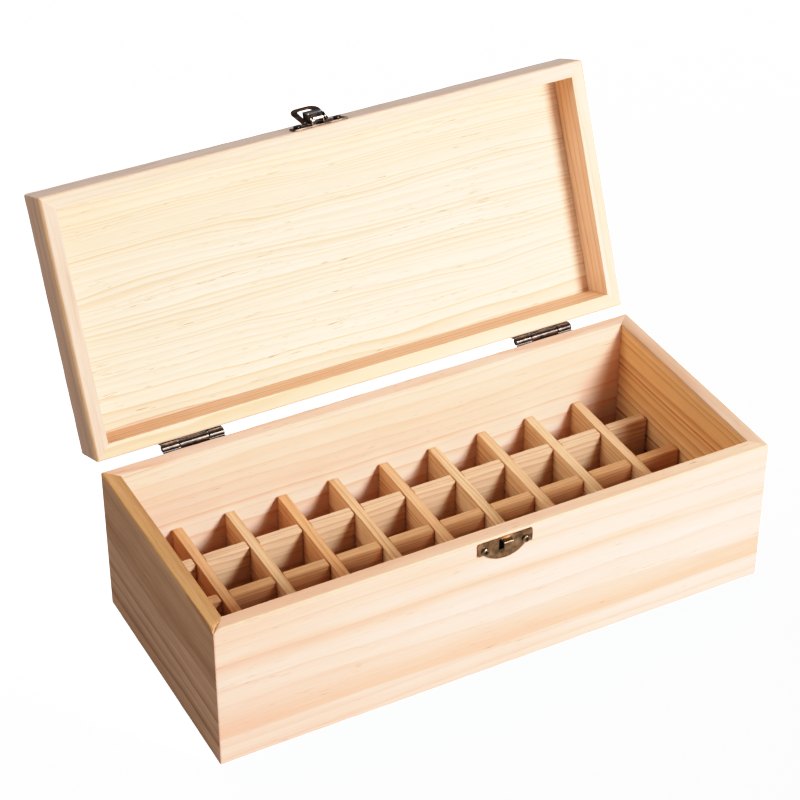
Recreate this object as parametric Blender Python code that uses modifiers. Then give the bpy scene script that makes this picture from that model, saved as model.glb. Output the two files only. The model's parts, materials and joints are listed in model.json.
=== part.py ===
# Essential oil storage box: a pine box with a hinged lid, a half-lapped lattice of bottle
# pockets, two butt hinges on the back and a toggle latch on the front.
# Run it in Blender 4.5. Metres, +Z up, +X to the right, the front faces -Y.
# The origin is the middle of the underside. The lid stands open.
from math import cos, pi, radians, sin

import bmesh
import bpy
from mathutils import Matrix, Vector

MM = 0.001

# Box
BOX_LENGTH = 300.0 * MM
BOX_DEPTH = 132.8 * MM
BOX_HEIGHT = 82.4 * MM
BOARD = 7.8 * MM
BOTTOM_PANEL = 3.2 * MM
RABBET = 4.0 * MM
EDGE_ROUND = 1.6 * MM
INNER_ROUND = 0.6 * MM

# Lid
LID_HEIGHT = 23.6 * MM
LID_BOARD = 7.8 * MM
LID_PANEL = 3.2 * MM
LID_GAP = 1.2 * MM
LID_OPEN_DEG = 112.7

# Bottle dividers, all cut from one stock
CROSS_DIVIDER_COUNT = 9
LONG_DIVIDER_COUNT = 3
DIVIDER = 5.0 * MM
DIVIDER_TOP = 41.0 * MM
DIVIDER_END_ROUND = 1.5 * MM
TOOTH_ROUND = 1.8 * MM

# Hinges
HINGE_INSET = 50.0 * MM
HINGE_OFFSET = 2.4 * MM
KNUCKLES = (9.0 * MM, 15.6 * MM, 8.0 * MM)
KNUCKLE_GAP = 0.3 * MM
KNUCKLE_RADIUS = 1.8 * MM
HINGE_PIN_RADIUS = 0.8 * MM
LEAF = 0.8 * MM
LEAF_REACH = 12.5 * MM
LEAF_CORNER = 1.5 * MM
HINGE_SCREW_SPACING = 20.0 * MM
HINGE_SCREW_DROP = 7.8 * MM

# Screws, one size for all the hardware
SCREW_HEAD_RADIUS = 2.1 * MM
SCREW_HEAD_HEIGHT = 1.1 * MM
SCREW_RADIUS = 0.8 * MM
SCREW_LENGTH = 6.0 * MM
SCREW_POINT = 1.4 * MM

# Plates of the latch and of its keeper, which share one outline
PLATE = 0.8 * MM
PLATE_WIDTH = 29.4 * MM
PLATE_HEIGHT = 12.4 * MM
PLATE_EAR = 7.3 * MM
PLATE_MOON = 22.4 * MM
PLATE_CORNER = 0.6 * MM
PLATE_SCREW_SPACING = 22.0 * MM
PLATE_SCREW_DROP = 5.0 * MM
PLATE_INSET = 1.1 * MM

# Hook of the keeper, lanced from its plate
HOOK_WIDTH = 5.0 * MM
HOOK_OUT = 4.1 * MM
HOOK_DROP = 5.1 * MM
HOOK_SHEET = 0.8 * MM
HOOK_TOP_INSET = 0.5 * MM
WINDOW_WIDTH = 7.0 * MM
WINDOW_HEIGHT = 5.8 * MM

# Latch lever, a folded channel that turns on a pin between two lugs
PIVOT_RISE = 6.0 * MM
PIVOT_OUT = 3.6 * MM
LEVER_WIDTH = 8.5 * MM
LEVER_SHEET = 0.6 * MM
LEVER_ROUND = 2.5 * MM
LEVER_REACH = 7.0 * MM
LIP_LENGTH = 1.5 * MM
LIP_RISE = 0.7 * MM
LIP_WRAP_DEG = 40.0
LEVER_SLOT = 0.9 * MM
LUG = 0.6 * MM
LUG_ROUND = 1.2 * MM
LATCH_PIN_RADIUS = 0.55 * MM

# Bail, stamped flat and hung in the lever's cheeks
BAIL_ALONG = 3.0 * MM
BAIL_BELOW = 1.4 * MM
BAIL_WIDTH = 16.0 * MM
BAIL_LEG = 3.6 * MM
BAIL_BAR = 2.2 * MM
BAIL_SHEET = 1.0 * MM
BAIL_TAIL = 1.2 * MM
BAIL_OUTER_ROUND = 3.2 * MM
BAIL_INNER_ROUND = 1.4 * MM
BAIL_TILT_DEG = 20.0
TRUNNION_RADIUS = 0.45 * MM
TRUNNION_BITE = 0.3 * MM

# Clearances
MITRE_GAP = 0.12 * MM
PANEL_GAP = 0.15 * MM
SEAT_GAP = 0.1 * MM
LAP_CLEARANCE = 0.3 * MM
WALL_CLEARANCE = 0.35 * MM
END_CLEARANCE = 0.8 * MM
PIN_CLEARANCE = 0.1 * MM
CHEEK_CLEARANCE = 0.15 * MM
SHANK_CLEARANCE = 0.2 * MM
HOOK_CLEARANCE = 0.2 * MM
OVERRUN = 2.0 * MM

# Facets
ROUND_SEGMENTS = 3
BARREL_FACETS = 24
SCREW_FACETS = 16
SMALL_FACETS = 16
ARC_STEPS = 5
FLAT_DEG = 0.5

# Places that follow from the sizes
INNER_LENGTH = BOX_LENGTH - 2 * BOARD
INNER_DEPTH = BOX_DEPTH - 2 * BOARD
FLOOR = BOTTOM_PANEL
BARREL_LENGTH = sum(KNUCKLES) + 2 * KNUCKLE_GAP
HINGE_AXIS = Vector((0, BOX_DEPTH / 2 + HINGE_OFFSET, BOX_HEIGHT + LID_GAP / 2))
HINGE_X = BOX_LENGTH / 2 - HINGE_INSET
LID_RIM = LID_GAP / 2
LID_TOP = LID_RIM + LID_HEIGHT
LID_FRONT = -HINGE_OFFSET - BOX_DEPTH
LEVER_PIVOT = Vector((0, LID_FRONT - PIVOT_OUT, LID_RIM + PIVOT_RISE))
BAIL_PIVOT = Vector((0, BAIL_BELOW, BAIL_ALONG))
HOOK_UNDERSIDE = BOX_HEIGHT - PLATE_INSET - HOOK_TOP_INSET - HOOK_SHEET
BAIL_PIVOT_HEIGHT = HINGE_AXIS.z + LEVER_PIVOT.z + BAIL_PIVOT.z
BAIL_LENGTH = BAIL_PIVOT_HEIGHT - HOOK_UNDERSIDE + HOOK_CLEARANCE + BAIL_BAR

# Turns that carry a flat outline, drawn in local X and Y, to the plane that it stands in
UPRIGHT = Matrix.Rotation(radians(90), 4, "X")
ACROSS = Matrix(((0, 0, 1, 0), (1, 0, 0, 0), (0, 1, 0, 0), (0, 0, 0, 1)))
LATCH_SIDE = Matrix(((0, 0, 1, 0), (0, -1, 0, 0), (1, 0, 0, 0), (0, 0, 0, 1)))
ALONG_X = Matrix.Rotation(radians(90), 4, "Y")


def clear_scene():
    for old in list(bpy.data.objects):
        bpy.data.objects.remove(old, do_unlink=True)


def new_collection(name):
    made = bpy.data.collections.new(name)
    bpy.context.scene.collection.children.link(made)
    return made


def finish(name, colour, roughness, metallic=0.0):
    material = bpy.data.materials.new(name)
    material.use_nodes = True
    shader = material.node_tree.nodes["Principled BSDF"]
    shader.inputs["Base Color"].default_value = (*colour, 1)
    shader.inputs["Roughness"].default_value = roughness
    shader.inputs["Metallic"].default_value = metallic
    material.diffuse_color = (*colour, 1)
    return material


clear_scene()
PARTS = new_collection("essential_oil_storage_box")
CUTTERS = new_collection("cutters")
PINE = finish("pine", (0.83, 0.62, 0.40), 0.55)
PINE_PANEL = finish("pine_panel", (0.88, 0.70, 0.48), 0.55)
PINE_DIVIDER = finish("pine_divider", (0.70, 0.46, 0.26), 0.6)
BRONZE = finish("antique_bronze", (0.18, 0.11, 0.06), 0.35, 1.0)
BRONZE_SCREW = finish("antique_bronze_screw", (0.24, 0.16, 0.09), 0.4, 1.0)


# Meshes


def box_mesh(low, high):
    bm = bmesh.new()
    bmesh.ops.create_cube(bm, size=1)
    low, high = Vector(low), Vector(high)
    bmesh.ops.scale(bm, vec=high - low, verts=bm.verts)
    bmesh.ops.translate(bm, vec=(high + low) / 2, verts=bm.verts)
    return bm


def rod_mesh(radius, start, end, facets):
    """A cylinder about the X axis, from x = start to x = end."""
    bm = bmesh.new()
    bmesh.ops.create_cone(
        bm, cap_ends=True, segments=facets, radius1=radius, radius2=radius, depth=end - start
    )
    bm.transform(Matrix.Translation(((start + end) / 2, 0, 0)) @ ALONG_X)
    return bm


def to_mesh(bm, name):
    bmesh.ops.recalc_face_normals(bm, faces=bm.faces)
    if bm.calc_volume(signed=True) < 0:
        bmesh.ops.reverse_faces(bm, faces=bm.faces)
    mesh = bpy.data.meshes.new(name)
    bm.to_mesh(mesh)
    bm.free()
    return mesh


def arc(centre, radius, start_deg, end_deg, steps=ARC_STEPS):
    angles = [radians(start_deg + (end_deg - start_deg) * i / steps) for i in range(steps + 1)]
    return [(centre[0] + radius * cos(a), centre[1] + radius * sin(a)) for a in angles]


def circle(centre, radius, facets=SMALL_FACETS):
    return arc(centre, radius, 0, 360, facets)[:-1]


def rounded(corners):
    """An outline from (x, y, radius) corners, each rounded by its own radius."""
    points = []
    for i, (x, y, radius) in enumerate(corners):
        here = Vector((x, y))
        back = (Vector(corners[i - 1][:2]) - here).normalized()
        ahead = (Vector(corners[(i + 1) % len(corners)][:2]) - here).normalized()
        if not radius:
            points.append((x, y))
            continue
        half = back.angle(ahead) / 2
        reach = radius * cos(half) / sin(half)
        centre = here + (back + ahead).normalized() * radius / sin(half)
        first, last = here + back * reach - centre, here + ahead * reach - centre
        for step in range(ARC_STEPS + 1):
            share = step / ARC_STEPS
            spoke = first.slerp(last, share)
            points.append(tuple(centre + spoke.normalized() * radius))
    return points


def outline_mesh(outline, thickness, turn, place=(0, 0, 0), holes=()):
    """A flat outline with holes, as thick as given about its own plane, turned and placed."""
    curve = bpy.data.curves.new("outline", "CURVE")
    curve.dimensions = "2D"
    curve.fill_mode = "BOTH"
    curve.extrude = thickness / 2
    for loop in (outline, *holes):
        spline = curve.splines.new("POLY")
        spline.points.add(len(loop) - 1)
        for point, (x, y) in zip(spline.points, loop):
            point.co = (x, y, 0, 1)
        spline.use_cyclic_u = True
    guide = bpy.data.objects.new("outline", curve)
    CUTTERS.objects.link(guide)
    bpy.context.view_layer.update()
    graph = bpy.context.evaluated_depsgraph_get()
    flat = bpy.data.meshes.new_from_object(guide.evaluated_get(graph))
    bm = bmesh.new()
    bm.from_mesh(flat)
    bmesh.ops.remove_doubles(bm, verts=bm.verts, dist=MM / 1000)
    bmesh.ops.dissolve_limit(bm, angle_limit=radians(FLAT_DEG), verts=bm.verts, edges=bm.edges)
    bm.transform(Matrix.Translation(place) @ turn)
    bpy.data.objects.remove(guide)
    bpy.data.curves.remove(curve)
    bpy.data.meshes.remove(flat)
    return bm


def turned_mesh(name, profile, facets):
    """A profile of (radius, height) points, top to bottom, turned about Z by a Screw modifier."""
    bm = bmesh.new()
    verts = [bm.verts.new((radius, 0, height)) for radius, height in profile]
    for a, b in zip(verts, verts[1:]):
        bm.edges.new((a, b))
    mesh = bpy.data.meshes.new(name + "_profile")
    bm.to_mesh(mesh)
    bm.free()
    guide = bpy.data.objects.new(name, mesh)
    CUTTERS.objects.link(guide)
    screw = guide.modifiers.new("turn", "SCREW")
    screw.steps = screw.render_steps = facets
    screw.use_merge_vertices = True
    screw.merge_threshold = MM / 1000
    bpy.context.view_layer.update()
    graph = bpy.context.evaluated_depsgraph_get()
    turned = bpy.data.meshes.new_from_object(guide.evaluated_get(graph))
    bpy.data.objects.remove(guide)
    bpy.data.meshes.remove(mesh)
    bm = bmesh.new()
    bm.from_mesh(turned)
    bmesh.ops.remove_doubles(bm, verts=bm.verts, dist=MM / 1000)
    bpy.data.meshes.remove(turned)
    return to_mesh(bm, name)


# Objects


def add_piece(name, mesh, material, parent=None, matrix=None):
    piece = bpy.data.objects.new(name, mesh)
    if not mesh.materials:
        mesh.materials.append(material)
    PARTS.objects.link(piece)
    piece.parent = parent
    piece.matrix_local = matrix or Matrix()
    return piece


def add_cutter(name, mesh, parent=None, matrix=None):
    cutter = bpy.data.objects.new(name, mesh)
    CUTTERS.objects.link(cutter)
    cutter.parent = parent
    cutter.matrix_local = matrix or Matrix()
    cutter.hide_render = True
    cutter.display_type = "WIRE"
    return cutter


def combine(piece, other, operation):
    step = piece.modifiers.new(other.name, "BOOLEAN")
    step.operation = operation
    step.solver = "EXACT"
    step.object = other


def add_empty(name, parent, place, turn=Matrix()):
    empty = bpy.data.objects.new(name, None)
    PARTS.objects.link(empty)
    empty.parent = parent
    empty.matrix_local = Matrix.Translation(place) @ turn
    empty.empty_display_size = BOARD
    return empty


def smooth(piece):
    piece.data.shade_smooth()
    piece.data.set_sharp_from_angle(angle=radians(35))


# Mitred frames


def ring(length, depth, low, high, board, panel_low, panel_high, inner_edge):
    """The four walls in one piece, with rounded outer edges and a rabbet for the panel."""
    outer = box_mesh((-length / 2, -depth / 2, low), (length / 2, depth / 2, high))
    bmesh.ops.bevel(
        outer, geom=outer.edges[:], offset=EDGE_ROUND, segments=ROUND_SEGMENTS, affect="EDGES", profile=0.5
    )
    walls = bpy.data.objects.new("walls", to_mesh(outer, "walls"))
    CUTTERS.objects.link(walls)
    inner = (length / 2 - board, depth / 2 - board)
    seat = (inner[0] + RABBET, inner[1] + RABBET)
    cuts = (
        ((-inner[0], -inner[1], low - OVERRUN), (inner[0], inner[1], high + OVERRUN)),
        ((-seat[0], -seat[1], panel_low), (seat[0], seat[1], panel_high)),
    )
    tools = [add_cutter("hollow", to_mesh(box_mesh(*cut), "hollow")) for cut in cuts]
    for tool in tools:
        combine(walls, tool, "DIFFERENCE")
    bpy.context.view_layer.update()
    graph = bpy.context.evaluated_depsgraph_get()
    bm = bmesh.new()
    bm.from_object(walls, graph)
    for helper in (walls, *tools):
        mesh = helper.data
        bpy.data.objects.remove(helper)
        bpy.data.meshes.remove(mesh)
    near = MM / 100
    inside = [
        edge
        for edge in bm.edges
        if all(
            abs(v.co.z - inner_edge) < near
            and abs(v.co.x) < inner[0] + near
            and abs(v.co.y) < inner[1] + near
            for v in edge.verts
        )
    ]
    bmesh.ops.bevel(bm, geom=inside, offset=INNER_ROUND, segments=2, affect="EDGES", profile=0.5)
    return to_mesh(bm, "ring")


def mitred_board(name, ring_mesh, length, depth, side):
    """One wall of the ring: side is the direction that its outer face looks in."""
    bm = bmesh.new()
    bm.from_mesh(ring_mesh)
    across = Vector((-side.y, side.x, 0))
    corner_reach = Vector((length / 2, depth / 2, 0))
    cuts = [(Vector((0, 0, 0)), side)]
    for way in (across, -across):
        towards = side + way
        corner = Vector((corner_reach.x * towards.x, corner_reach.y * towards.y, 0))
        normal = (side - way).normalized()
        cuts.append((corner + normal * MITRE_GAP / 2, normal))
    for place, normal in cuts:
        bmesh.ops.bisect_plane(
            bm, geom=bm.verts[:] + bm.edges[:] + bm.faces[:], plane_co=place, plane_no=normal, clear_inner=True
        )
    open_edges = [edge for edge in bm.edges if edge.is_boundary]
    bmesh.ops.holes_fill(bm, edges=open_edges, sides=0)
    return to_mesh(bm, name)


SIDES = {
    "front": Vector((0, -1, 0)),
    "back": Vector((0, 1, 0)),
    "left": Vector((-1, 0, 0)),
    "right": Vector((1, 0, 0)),
}


def panel_mesh(name, length, depth, board, low, high):
    reach_x = length / 2 - board + RABBET - PANEL_GAP
    reach_y = depth / 2 - board + RABBET - PANEL_GAP
    return to_mesh(box_mesh((-reach_x, -reach_y, low), (reach_x, reach_y, high)), name)


def build_box():
    walls = ring(BOX_LENGTH, BOX_DEPTH, 0, BOX_HEIGHT, BOARD, -OVERRUN, FLOOR, BOX_HEIGHT)
    boards = {}
    for side, way in SIDES.items():
        name = f"box_{side}_board"
        boards[side] = add_piece(name, mitred_board(name, walls, BOX_LENGTH, BOX_DEPTH, way), PINE)
    bpy.data.meshes.remove(walls)
    floor = panel_mesh("bottom_panel", BOX_LENGTH, BOX_DEPTH, BOARD, 0, FLOOR - PANEL_GAP)
    add_piece("bottom_panel", floor, PINE_PANEL)
    return boards


def build_lid(lid):
    place = Matrix.Translation((0, LID_FRONT + BOX_DEPTH / 2, 0))
    seat = LID_TOP - LID_PANEL
    walls = ring(
        BOX_LENGTH, BOX_DEPTH, LID_RIM, LID_TOP, LID_BOARD, seat, LID_TOP + OVERRUN, LID_RIM
    )
    rails = {}
    for side, way in SIDES.items():
        name = f"lid_{side}_rail"
        mesh = mitred_board(name, walls, BOX_LENGTH, BOX_DEPTH, way)
        rails[side] = add_piece(name, mesh, PINE, lid, place)
    bpy.data.meshes.remove(walls)
    top = panel_mesh("lid_panel", BOX_LENGTH, BOX_DEPTH, LID_BOARD, seat + PANEL_GAP, LID_TOP)
    add_piece("lid_panel", top, PINE_PANEL, lid, place)
    return rails


# Divider lattice


def even_places(count, span):
    """Centres of dividers that leave equal pockets between them and the walls."""
    pitch = (span + DIVIDER) / (count + 1)
    return [pitch * (i + 1) - (span + DIVIDER) / 2 for i in range(count)]


CROSS_X = even_places(CROSS_DIVIDER_COUNT, INNER_LENGTH)
LONG_Y = even_places(LONG_DIVIDER_COUNT, INNER_DEPTH)


def build_dividers():
    foot = FLOOR + PANEL_GAP
    lap = (foot + DIVIDER_TOP) / 2
    slot = DIVIDER / 2 + LAP_CLEARANCE
    reach = INNER_DEPTH / 2 - WALL_CLEARANCE

    # Cross dividers are notched from below and lie over the long ones.
    outline = [(reach, foot, 0), (reach, DIVIDER_TOP, DIVIDER_END_ROUND)]
    outline += [(-reach, DIVIDER_TOP, DIVIDER_END_ROUND), (-reach, foot, 0)]
    for y in LONG_Y:
        outline += [(y - slot, foot, 0), (y - slot, lap + LAP_CLEARANCE / 2, 0)]
        outline += [(y + slot, lap + LAP_CLEARANCE / 2, 0), (y + slot, foot, 0)]
    mesh = to_mesh(outline_mesh(rounded(outline), DIVIDER, ACROSS), "cross_divider")
    for i, x in enumerate(CROSS_X):
        add_piece(f"cross_divider_{i + 1}", mesh, PINE_DIVIDER, matrix=Matrix.Translation((x, 0, 0)))

    # Long dividers are notched from above. The right-hand corner of each tooth is eased.
    reach = INNER_LENGTH / 2 - END_CLEARANCE
    outline = [(-reach, foot, 0), (reach, foot, 0), (reach, DIVIDER_TOP, DIVIDER_END_ROUND)]
    for x in reversed(CROSS_X):
        outline += [(x + slot, DIVIDER_TOP, 0), (x + slot, lap - LAP_CLEARANCE / 2, 0)]
        outline += [(x - slot, lap - LAP_CLEARANCE / 2, 0), (x - slot, DIVIDER_TOP, TOOTH_ROUND)]
    outline.append((-reach, DIVIDER_TOP, DIVIDER_END_ROUND))
    mesh = to_mesh(outline_mesh(rounded(outline), DIVIDER, UPRIGHT), "long_divider")
    for i, y in enumerate(LONG_Y):
        add_piece(f"long_divider_{i + 1}", mesh, PINE_DIVIDER, matrix=Matrix.Translation((0, y, 0)))


# Screws


def screw_mesh():
    """A round-headed wood screw. Its head's underside lies at z = 0 and its point looks down."""
    crown = [
        (SCREW_HEAD_RADIUS * sin(radians(a)), SCREW_HEAD_HEIGHT * cos(radians(a))) for a in range(0, 91, 18)
    ]
    stem = [(SCREW_RADIUS, 0), (SCREW_RADIUS, SCREW_POINT - SCREW_LENGTH), (0, -SCREW_LENGTH)]
    return turned_mesh("wood_screw", crown + stem, SCREW_FACETS)


def pilot_mesh():
    depth = SCREW_LENGTH + SHANK_CLEARANCE
    bm = rod_mesh(SCREW_RADIUS + SHANK_CLEARANCE, -depth, OVERRUN, SMALL_FACETS)
    bm.transform(ALONG_X.inverted())
    return to_mesh(bm, "pilot_hole")


SCREW_MESH = screw_mesh()
PILOT_MESH = pilot_mesh()
OUT_OF_FRONT = Matrix.Rotation(radians(90), 4, "X")
OUT_OF_BACK = Matrix.Rotation(radians(-90), 4, "X")


def drive_screw(name, board, parent, place, way, plate):
    """A screw through a plate of the given thickness into a board, with its pilot hole."""
    out = way @ Vector((0, 0, SEAT_GAP + plate + SEAT_GAP))
    matrix = Matrix.Translation(Vector(place) + out) @ way
    smooth(add_piece(name, SCREW_MESH, BRONZE_SCREW, parent, matrix))
    combine(board, add_cutter(f"{name}_pilot", PILOT_MESH, parent, matrix), "DIFFERENCE")


# Hinges


def leaf_outline(own, way):
    """A hinge leaf in the plane of the back, about the barrel's axis: way is +1 up, -1 down.

    It reaches the axis only at its own knuckles and clears the other leaf's."""
    clear = KNUCKLE_RADIUS + KNUCKLE_GAP
    left = -BARREL_LENGTH / 2
    corners = []
    for i, width in enumerate(KNUCKLES):
        right = left + width
        low = 0 if i in own else clear
        corners += [(left, low * way, 0), (right, low * way, 0)]
        left = right + KNUCKLE_GAP
        if i + 1 < len(KNUCKLES):
            gap_low = clear
            corners += [(right, gap_low * way, 0)] if low != gap_low else [(left, gap_low * way, 0)]
    corners += [(BARREL_LENGTH / 2, LEAF_REACH * way, LEAF_CORNER)]
    corners += [(-BARREL_LENGTH / 2, LEAF_REACH * way, LEAF_CORNER)]
    return rounded(corners)


def knuckle_spans(own):
    left = -BARREL_LENGTH / 2
    for i, width in enumerate(KNUCKLES):
        if i in own:
            yield left, left + width
        left += width + KNUCKLE_GAP


def build_leaf(name, parent, axis, own, way):
    """One leaf with its knuckles. The leaf lies on the back face and the barrel stands off it."""
    screws = [(x, HINGE_SCREW_DROP * way) for x in (-HINGE_SCREW_SPACING / 2, HINGE_SCREW_SPACING / 2)]
    holes = [circle(place, SCREW_RADIUS + SHANK_CLEARANCE) for place in screws]
    seat = -HINGE_OFFSET + SEAT_GAP + LEAF / 2
    plate = outline_mesh(leaf_outline(own, way), LEAF, UPRIGHT, (0, seat, 0), holes)
    matrix = Matrix.Translation(axis)
    leaf = add_piece(name, to_mesh(plate, name), BRONZE, parent, matrix)
    for i, (start, end) in enumerate(knuckle_spans(own)):
        mesh = to_mesh(rod_mesh(KNUCKLE_RADIUS, start, end, BARREL_FACETS), "knuckle")
        combine(leaf, add_cutter(f"{name}_knuckle_{i + 1}", mesh, parent, matrix), "UNION")
    reach = BARREL_LENGTH / 2 + OVERRUN
    bore = to_mesh(rod_mesh(HINGE_PIN_RADIUS + PIN_CLEARANCE, -reach, reach, BARREL_FACETS), "bore")
    combine(leaf, add_cutter(f"{name}_bore", bore, parent, matrix), "DIFFERENCE")
    smooth(leaf)
    return screws


def build_hinges(lid, back_board, back_rail):
    for side, x in (("left", -HINGE_X), ("right", HINGE_X)):
        box_axis = HINGE_AXIS + Vector((x, 0, 0))
        lid_axis = Vector((x, 0, 0))
        leaves = (
            ("box", None, box_axis, (1,), -1, back_board),
            ("lid", lid, lid_axis, (0, 2), 1, back_rail),
        )
        for carrier, parent, axis, own, way, board in leaves:
            screws = build_leaf(f"hinge_{side}_{carrier}_leaf", parent, axis, own, way)
            for i, (along, up) in enumerate(screws):
                place = axis + Vector((along, -HINGE_OFFSET, up))
                name = f"hinge_{side}_{carrier}_screw_{i + 1}"
                drive_screw(name, board, parent, place, OUT_OF_BACK, LEAF)
        half = BARREL_LENGTH / 2 - PIN_CLEARANCE
        pin = to_mesh(rod_mesh(HINGE_PIN_RADIUS, -half, half, BARREL_FACETS), "hinge_pin")
        smooth(add_piece(f"hinge_{side}_pin", pin, BRONZE, matrix=Matrix.Translation(box_axis)))


# Latch and keeper


def shaped_plate(way):
    """Ears with a half-moon between them, from a straight edge: way is +1 up, -1 down."""
    half, moon = PLATE_WIDTH / 2, PLATE_MOON / 2
    sag = PLATE_HEIGHT - PLATE_EAR
    radius = (moon * moon + sag * sag) / (2 * sag)
    centre = (0, PLATE_HEIGHT - radius)
    span = Vector((moon, PLATE_EAR - centre[1])).angle(Vector((0, 1)))
    start = 90 - span * 180 / pi
    bow = arc(centre, radius, start, 180 - start, 2 * ARC_STEPS)
    easing = [PLATE_CORNER if i in (0, len(bow) - 1) else 0 for i in range(len(bow))]
    corners = [(half, PLATE_EAR, PLATE_CORNER)]
    corners += [(x, y, ease) for (x, y), ease in zip(bow, easing)]
    corners += [(-half, PLATE_EAR, PLATE_CORNER), (-half, 0, PLATE_CORNER), (half, 0, PLATE_CORNER)]
    return [(x, y * way) for x, y in rounded(corners)]


def plate_screws(way):
    return [(x, PLATE_SCREW_DROP * way) for x in (-PLATE_SCREW_SPACING / 2, PLATE_SCREW_SPACING / 2)]


def hook_outline():
    """Side view of the hook, x out from the board's face and y up from its underside."""
    out, thick = HOOK_OUT, HOOK_SHEET
    root = SEAT_GAP + PLATE / 2
    return rounded(
        [
            (root, thick, 0),
            (root, 0, 0),
            (out - thick, 0, thick / 2),
            (out - thick, thick - HOOK_DROP, 0),
            (out, thick - HOOK_DROP, 0),
            (out, thick, thick),
        ]
    )


def build_keeper(front_board):
    top = BOX_HEIGHT - PLATE_INSET
    face = -BOX_DEPTH / 2
    holes = [circle(place, SCREW_RADIUS + SHANK_CLEARANCE) for place in plate_screws(-1)]
    window_top = HOOK_UNDERSIDE + HOOK_SHEET / 2 - top
    half = WINDOW_WIDTH / 2
    low = window_top - WINDOW_HEIGHT
    holes.append([(-half, low), (half, low), (half, window_top), (-half, window_top)])
    middle = (0, face - SEAT_GAP - PLATE / 2, top)
    plate = outline_mesh(shaped_plate(-1), PLATE, UPRIGHT, middle, holes)
    keeper = add_piece("keeper_plate", to_mesh(plate, "keeper_plate"), BRONZE)
    side_view = Matrix(((0, 0, -1, 0), (-1, 0, 0, 0), (0, 1, 0, 0), (0, 0, 0, 1)))
    hook = outline_mesh(hook_outline(), HOOK_WIDTH, side_view, (0, face, HOOK_UNDERSIDE))
    combine(keeper, add_cutter("keeper_hook", to_mesh(hook, "keeper_hook")), "UNION")
    for side, (x, drop) in zip(("left", "right"), plate_screws(-1)):
        drive_screw(f"keeper_screw_{side}", front_board, None, (x, face, top + drop), OUT_OF_FRONT, PLATE)


def build_latch_base(lid, front_rail):
    """The plate on the lid, with two lugs that hold the lever's pin."""
    edge = LID_RIM + PLATE_INSET
    holes = [circle(place, SCREW_RADIUS + SHANK_CLEARANCE) for place in plate_screws(1)]
    middle = (0, LID_FRONT - SEAT_GAP - PLATE / 2, edge)
    plate = outline_mesh(shaped_plate(1), PLATE, UPRIGHT, middle, holes)
    base = add_piece("latch_base_plate", to_mesh(plate, "latch_base_plate"), BRONZE, lid)
    foot = -PIVOT_OUT + SEAT_GAP + PLATE / 2
    lug = [(LUG_ROUND, foot)] + arc((0, 0), LUG_ROUND, 0, 180, 2 * ARC_STEPS) + [(-LUG_ROUND, foot)]
    bore = circle((0, 0), LATCH_PIN_RADIUS + PIN_CLEARANCE)
    offset = LEVER_WIDTH / 2 - LEVER_SHEET - CHEEK_CLEARANCE - LUG / 2
    for i, x in enumerate((-offset, offset)):
        place = LEVER_PIVOT + Vector((x, 0, 0))
        mesh = to_mesh(outline_mesh(lug, LUG, LATCH_SIDE, place, [bore]), "lug")
        combine(base, add_cutter(f"latch_lug_{i + 1}", mesh, lid), "UNION")
    for side, (x, rise) in zip(("left", "right"), plate_screws(1)):
        place = (x, LID_FRONT, edge + rise)
        drive_screw(f"latch_screw_{side}", front_rail, lid, place, OUT_OF_FRONT, PLATE)
    half = LEVER_WIDTH / 2
    pin = to_mesh(rod_mesh(LATCH_PIN_RADIUS, -half, half, SMALL_FACETS), "latch_pin")
    smooth(add_piece("latch_pin", pin, BRONZE, lid, Matrix.Translation(LEVER_PIVOT)))


def lever_top_outline():
    """Side view of the lever's top sheet about its pin, x towards the tip and y outward."""
    outer, inner = LEVER_ROUND, LEVER_ROUND - LEVER_SHEET
    flat_end = LEVER_REACH - LIP_LENGTH
    wrap = 90 + LIP_WRAP_DEG
    lip = (LEVER_REACH, outer + LIP_RISE)
    return (
        [(flat_end, inner), (LEVER_REACH, inner + LIP_RISE), lip, (flat_end, outer)]
        + arc((0, 0), outer, 90, wrap)
        + arc((0, 0), inner, wrap, 90)
    )


def lever_cheek_outline():
    """Side view of a cheek, whose upper edge stays within the top sheet."""
    edge = LEVER_ROUND - LEVER_SHEET / 6
    nose = arc((0, 0), edge, 270, 90, 2 * ARC_STEPS)
    far = LEVER_REACH - LIP_LENGTH
    return nose + [(far, edge), (LEVER_REACH, edge), (LEVER_REACH, -edge / 2), (far, -edge)]


def build_lever(lever):
    top = outline_mesh(lever_top_outline(), LEVER_WIDTH, LATCH_SIDE)
    piece = add_piece("latch_lever", to_mesh(top, "latch_lever"), BRONZE, lever)
    lug_side = LEVER_WIDTH / 2 - LEVER_SHEET - 2 * CHEEK_CLEARANCE - LUG
    high, wide = LEVER_ROUND + OVERRUN, LEVER_WIDTH / 2 + OVERRUN
    for i, ends in enumerate(((-wide, -lug_side), (lug_side, wide))):
        slot = box_mesh((ends[0], -high, -high), (ends[1], high, LEVER_SLOT))
        combine(piece, add_cutter(f"latch_slot_{i + 1}", to_mesh(slot, "slot"), lever), "DIFFERENCE")
    pin_hole = circle((0, 0), LATCH_PIN_RADIUS + PIN_CLEARANCE)
    bail_hole = circle((BAIL_ALONG, -BAIL_BELOW), TRUNNION_RADIUS + PIN_CLEARANCE)
    offset = (LEVER_WIDTH - LEVER_SHEET) / 2
    for i, x in enumerate((-offset, offset)):
        cheek = outline_mesh(lever_cheek_outline(), LEVER_SHEET, LATCH_SIDE, (x, 0, 0), [pin_hole, bail_hole])
        combine(piece, add_cutter(f"latch_cheek_{i + 1}", to_mesh(cheek, "cheek"), lever), "UNION")


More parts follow.
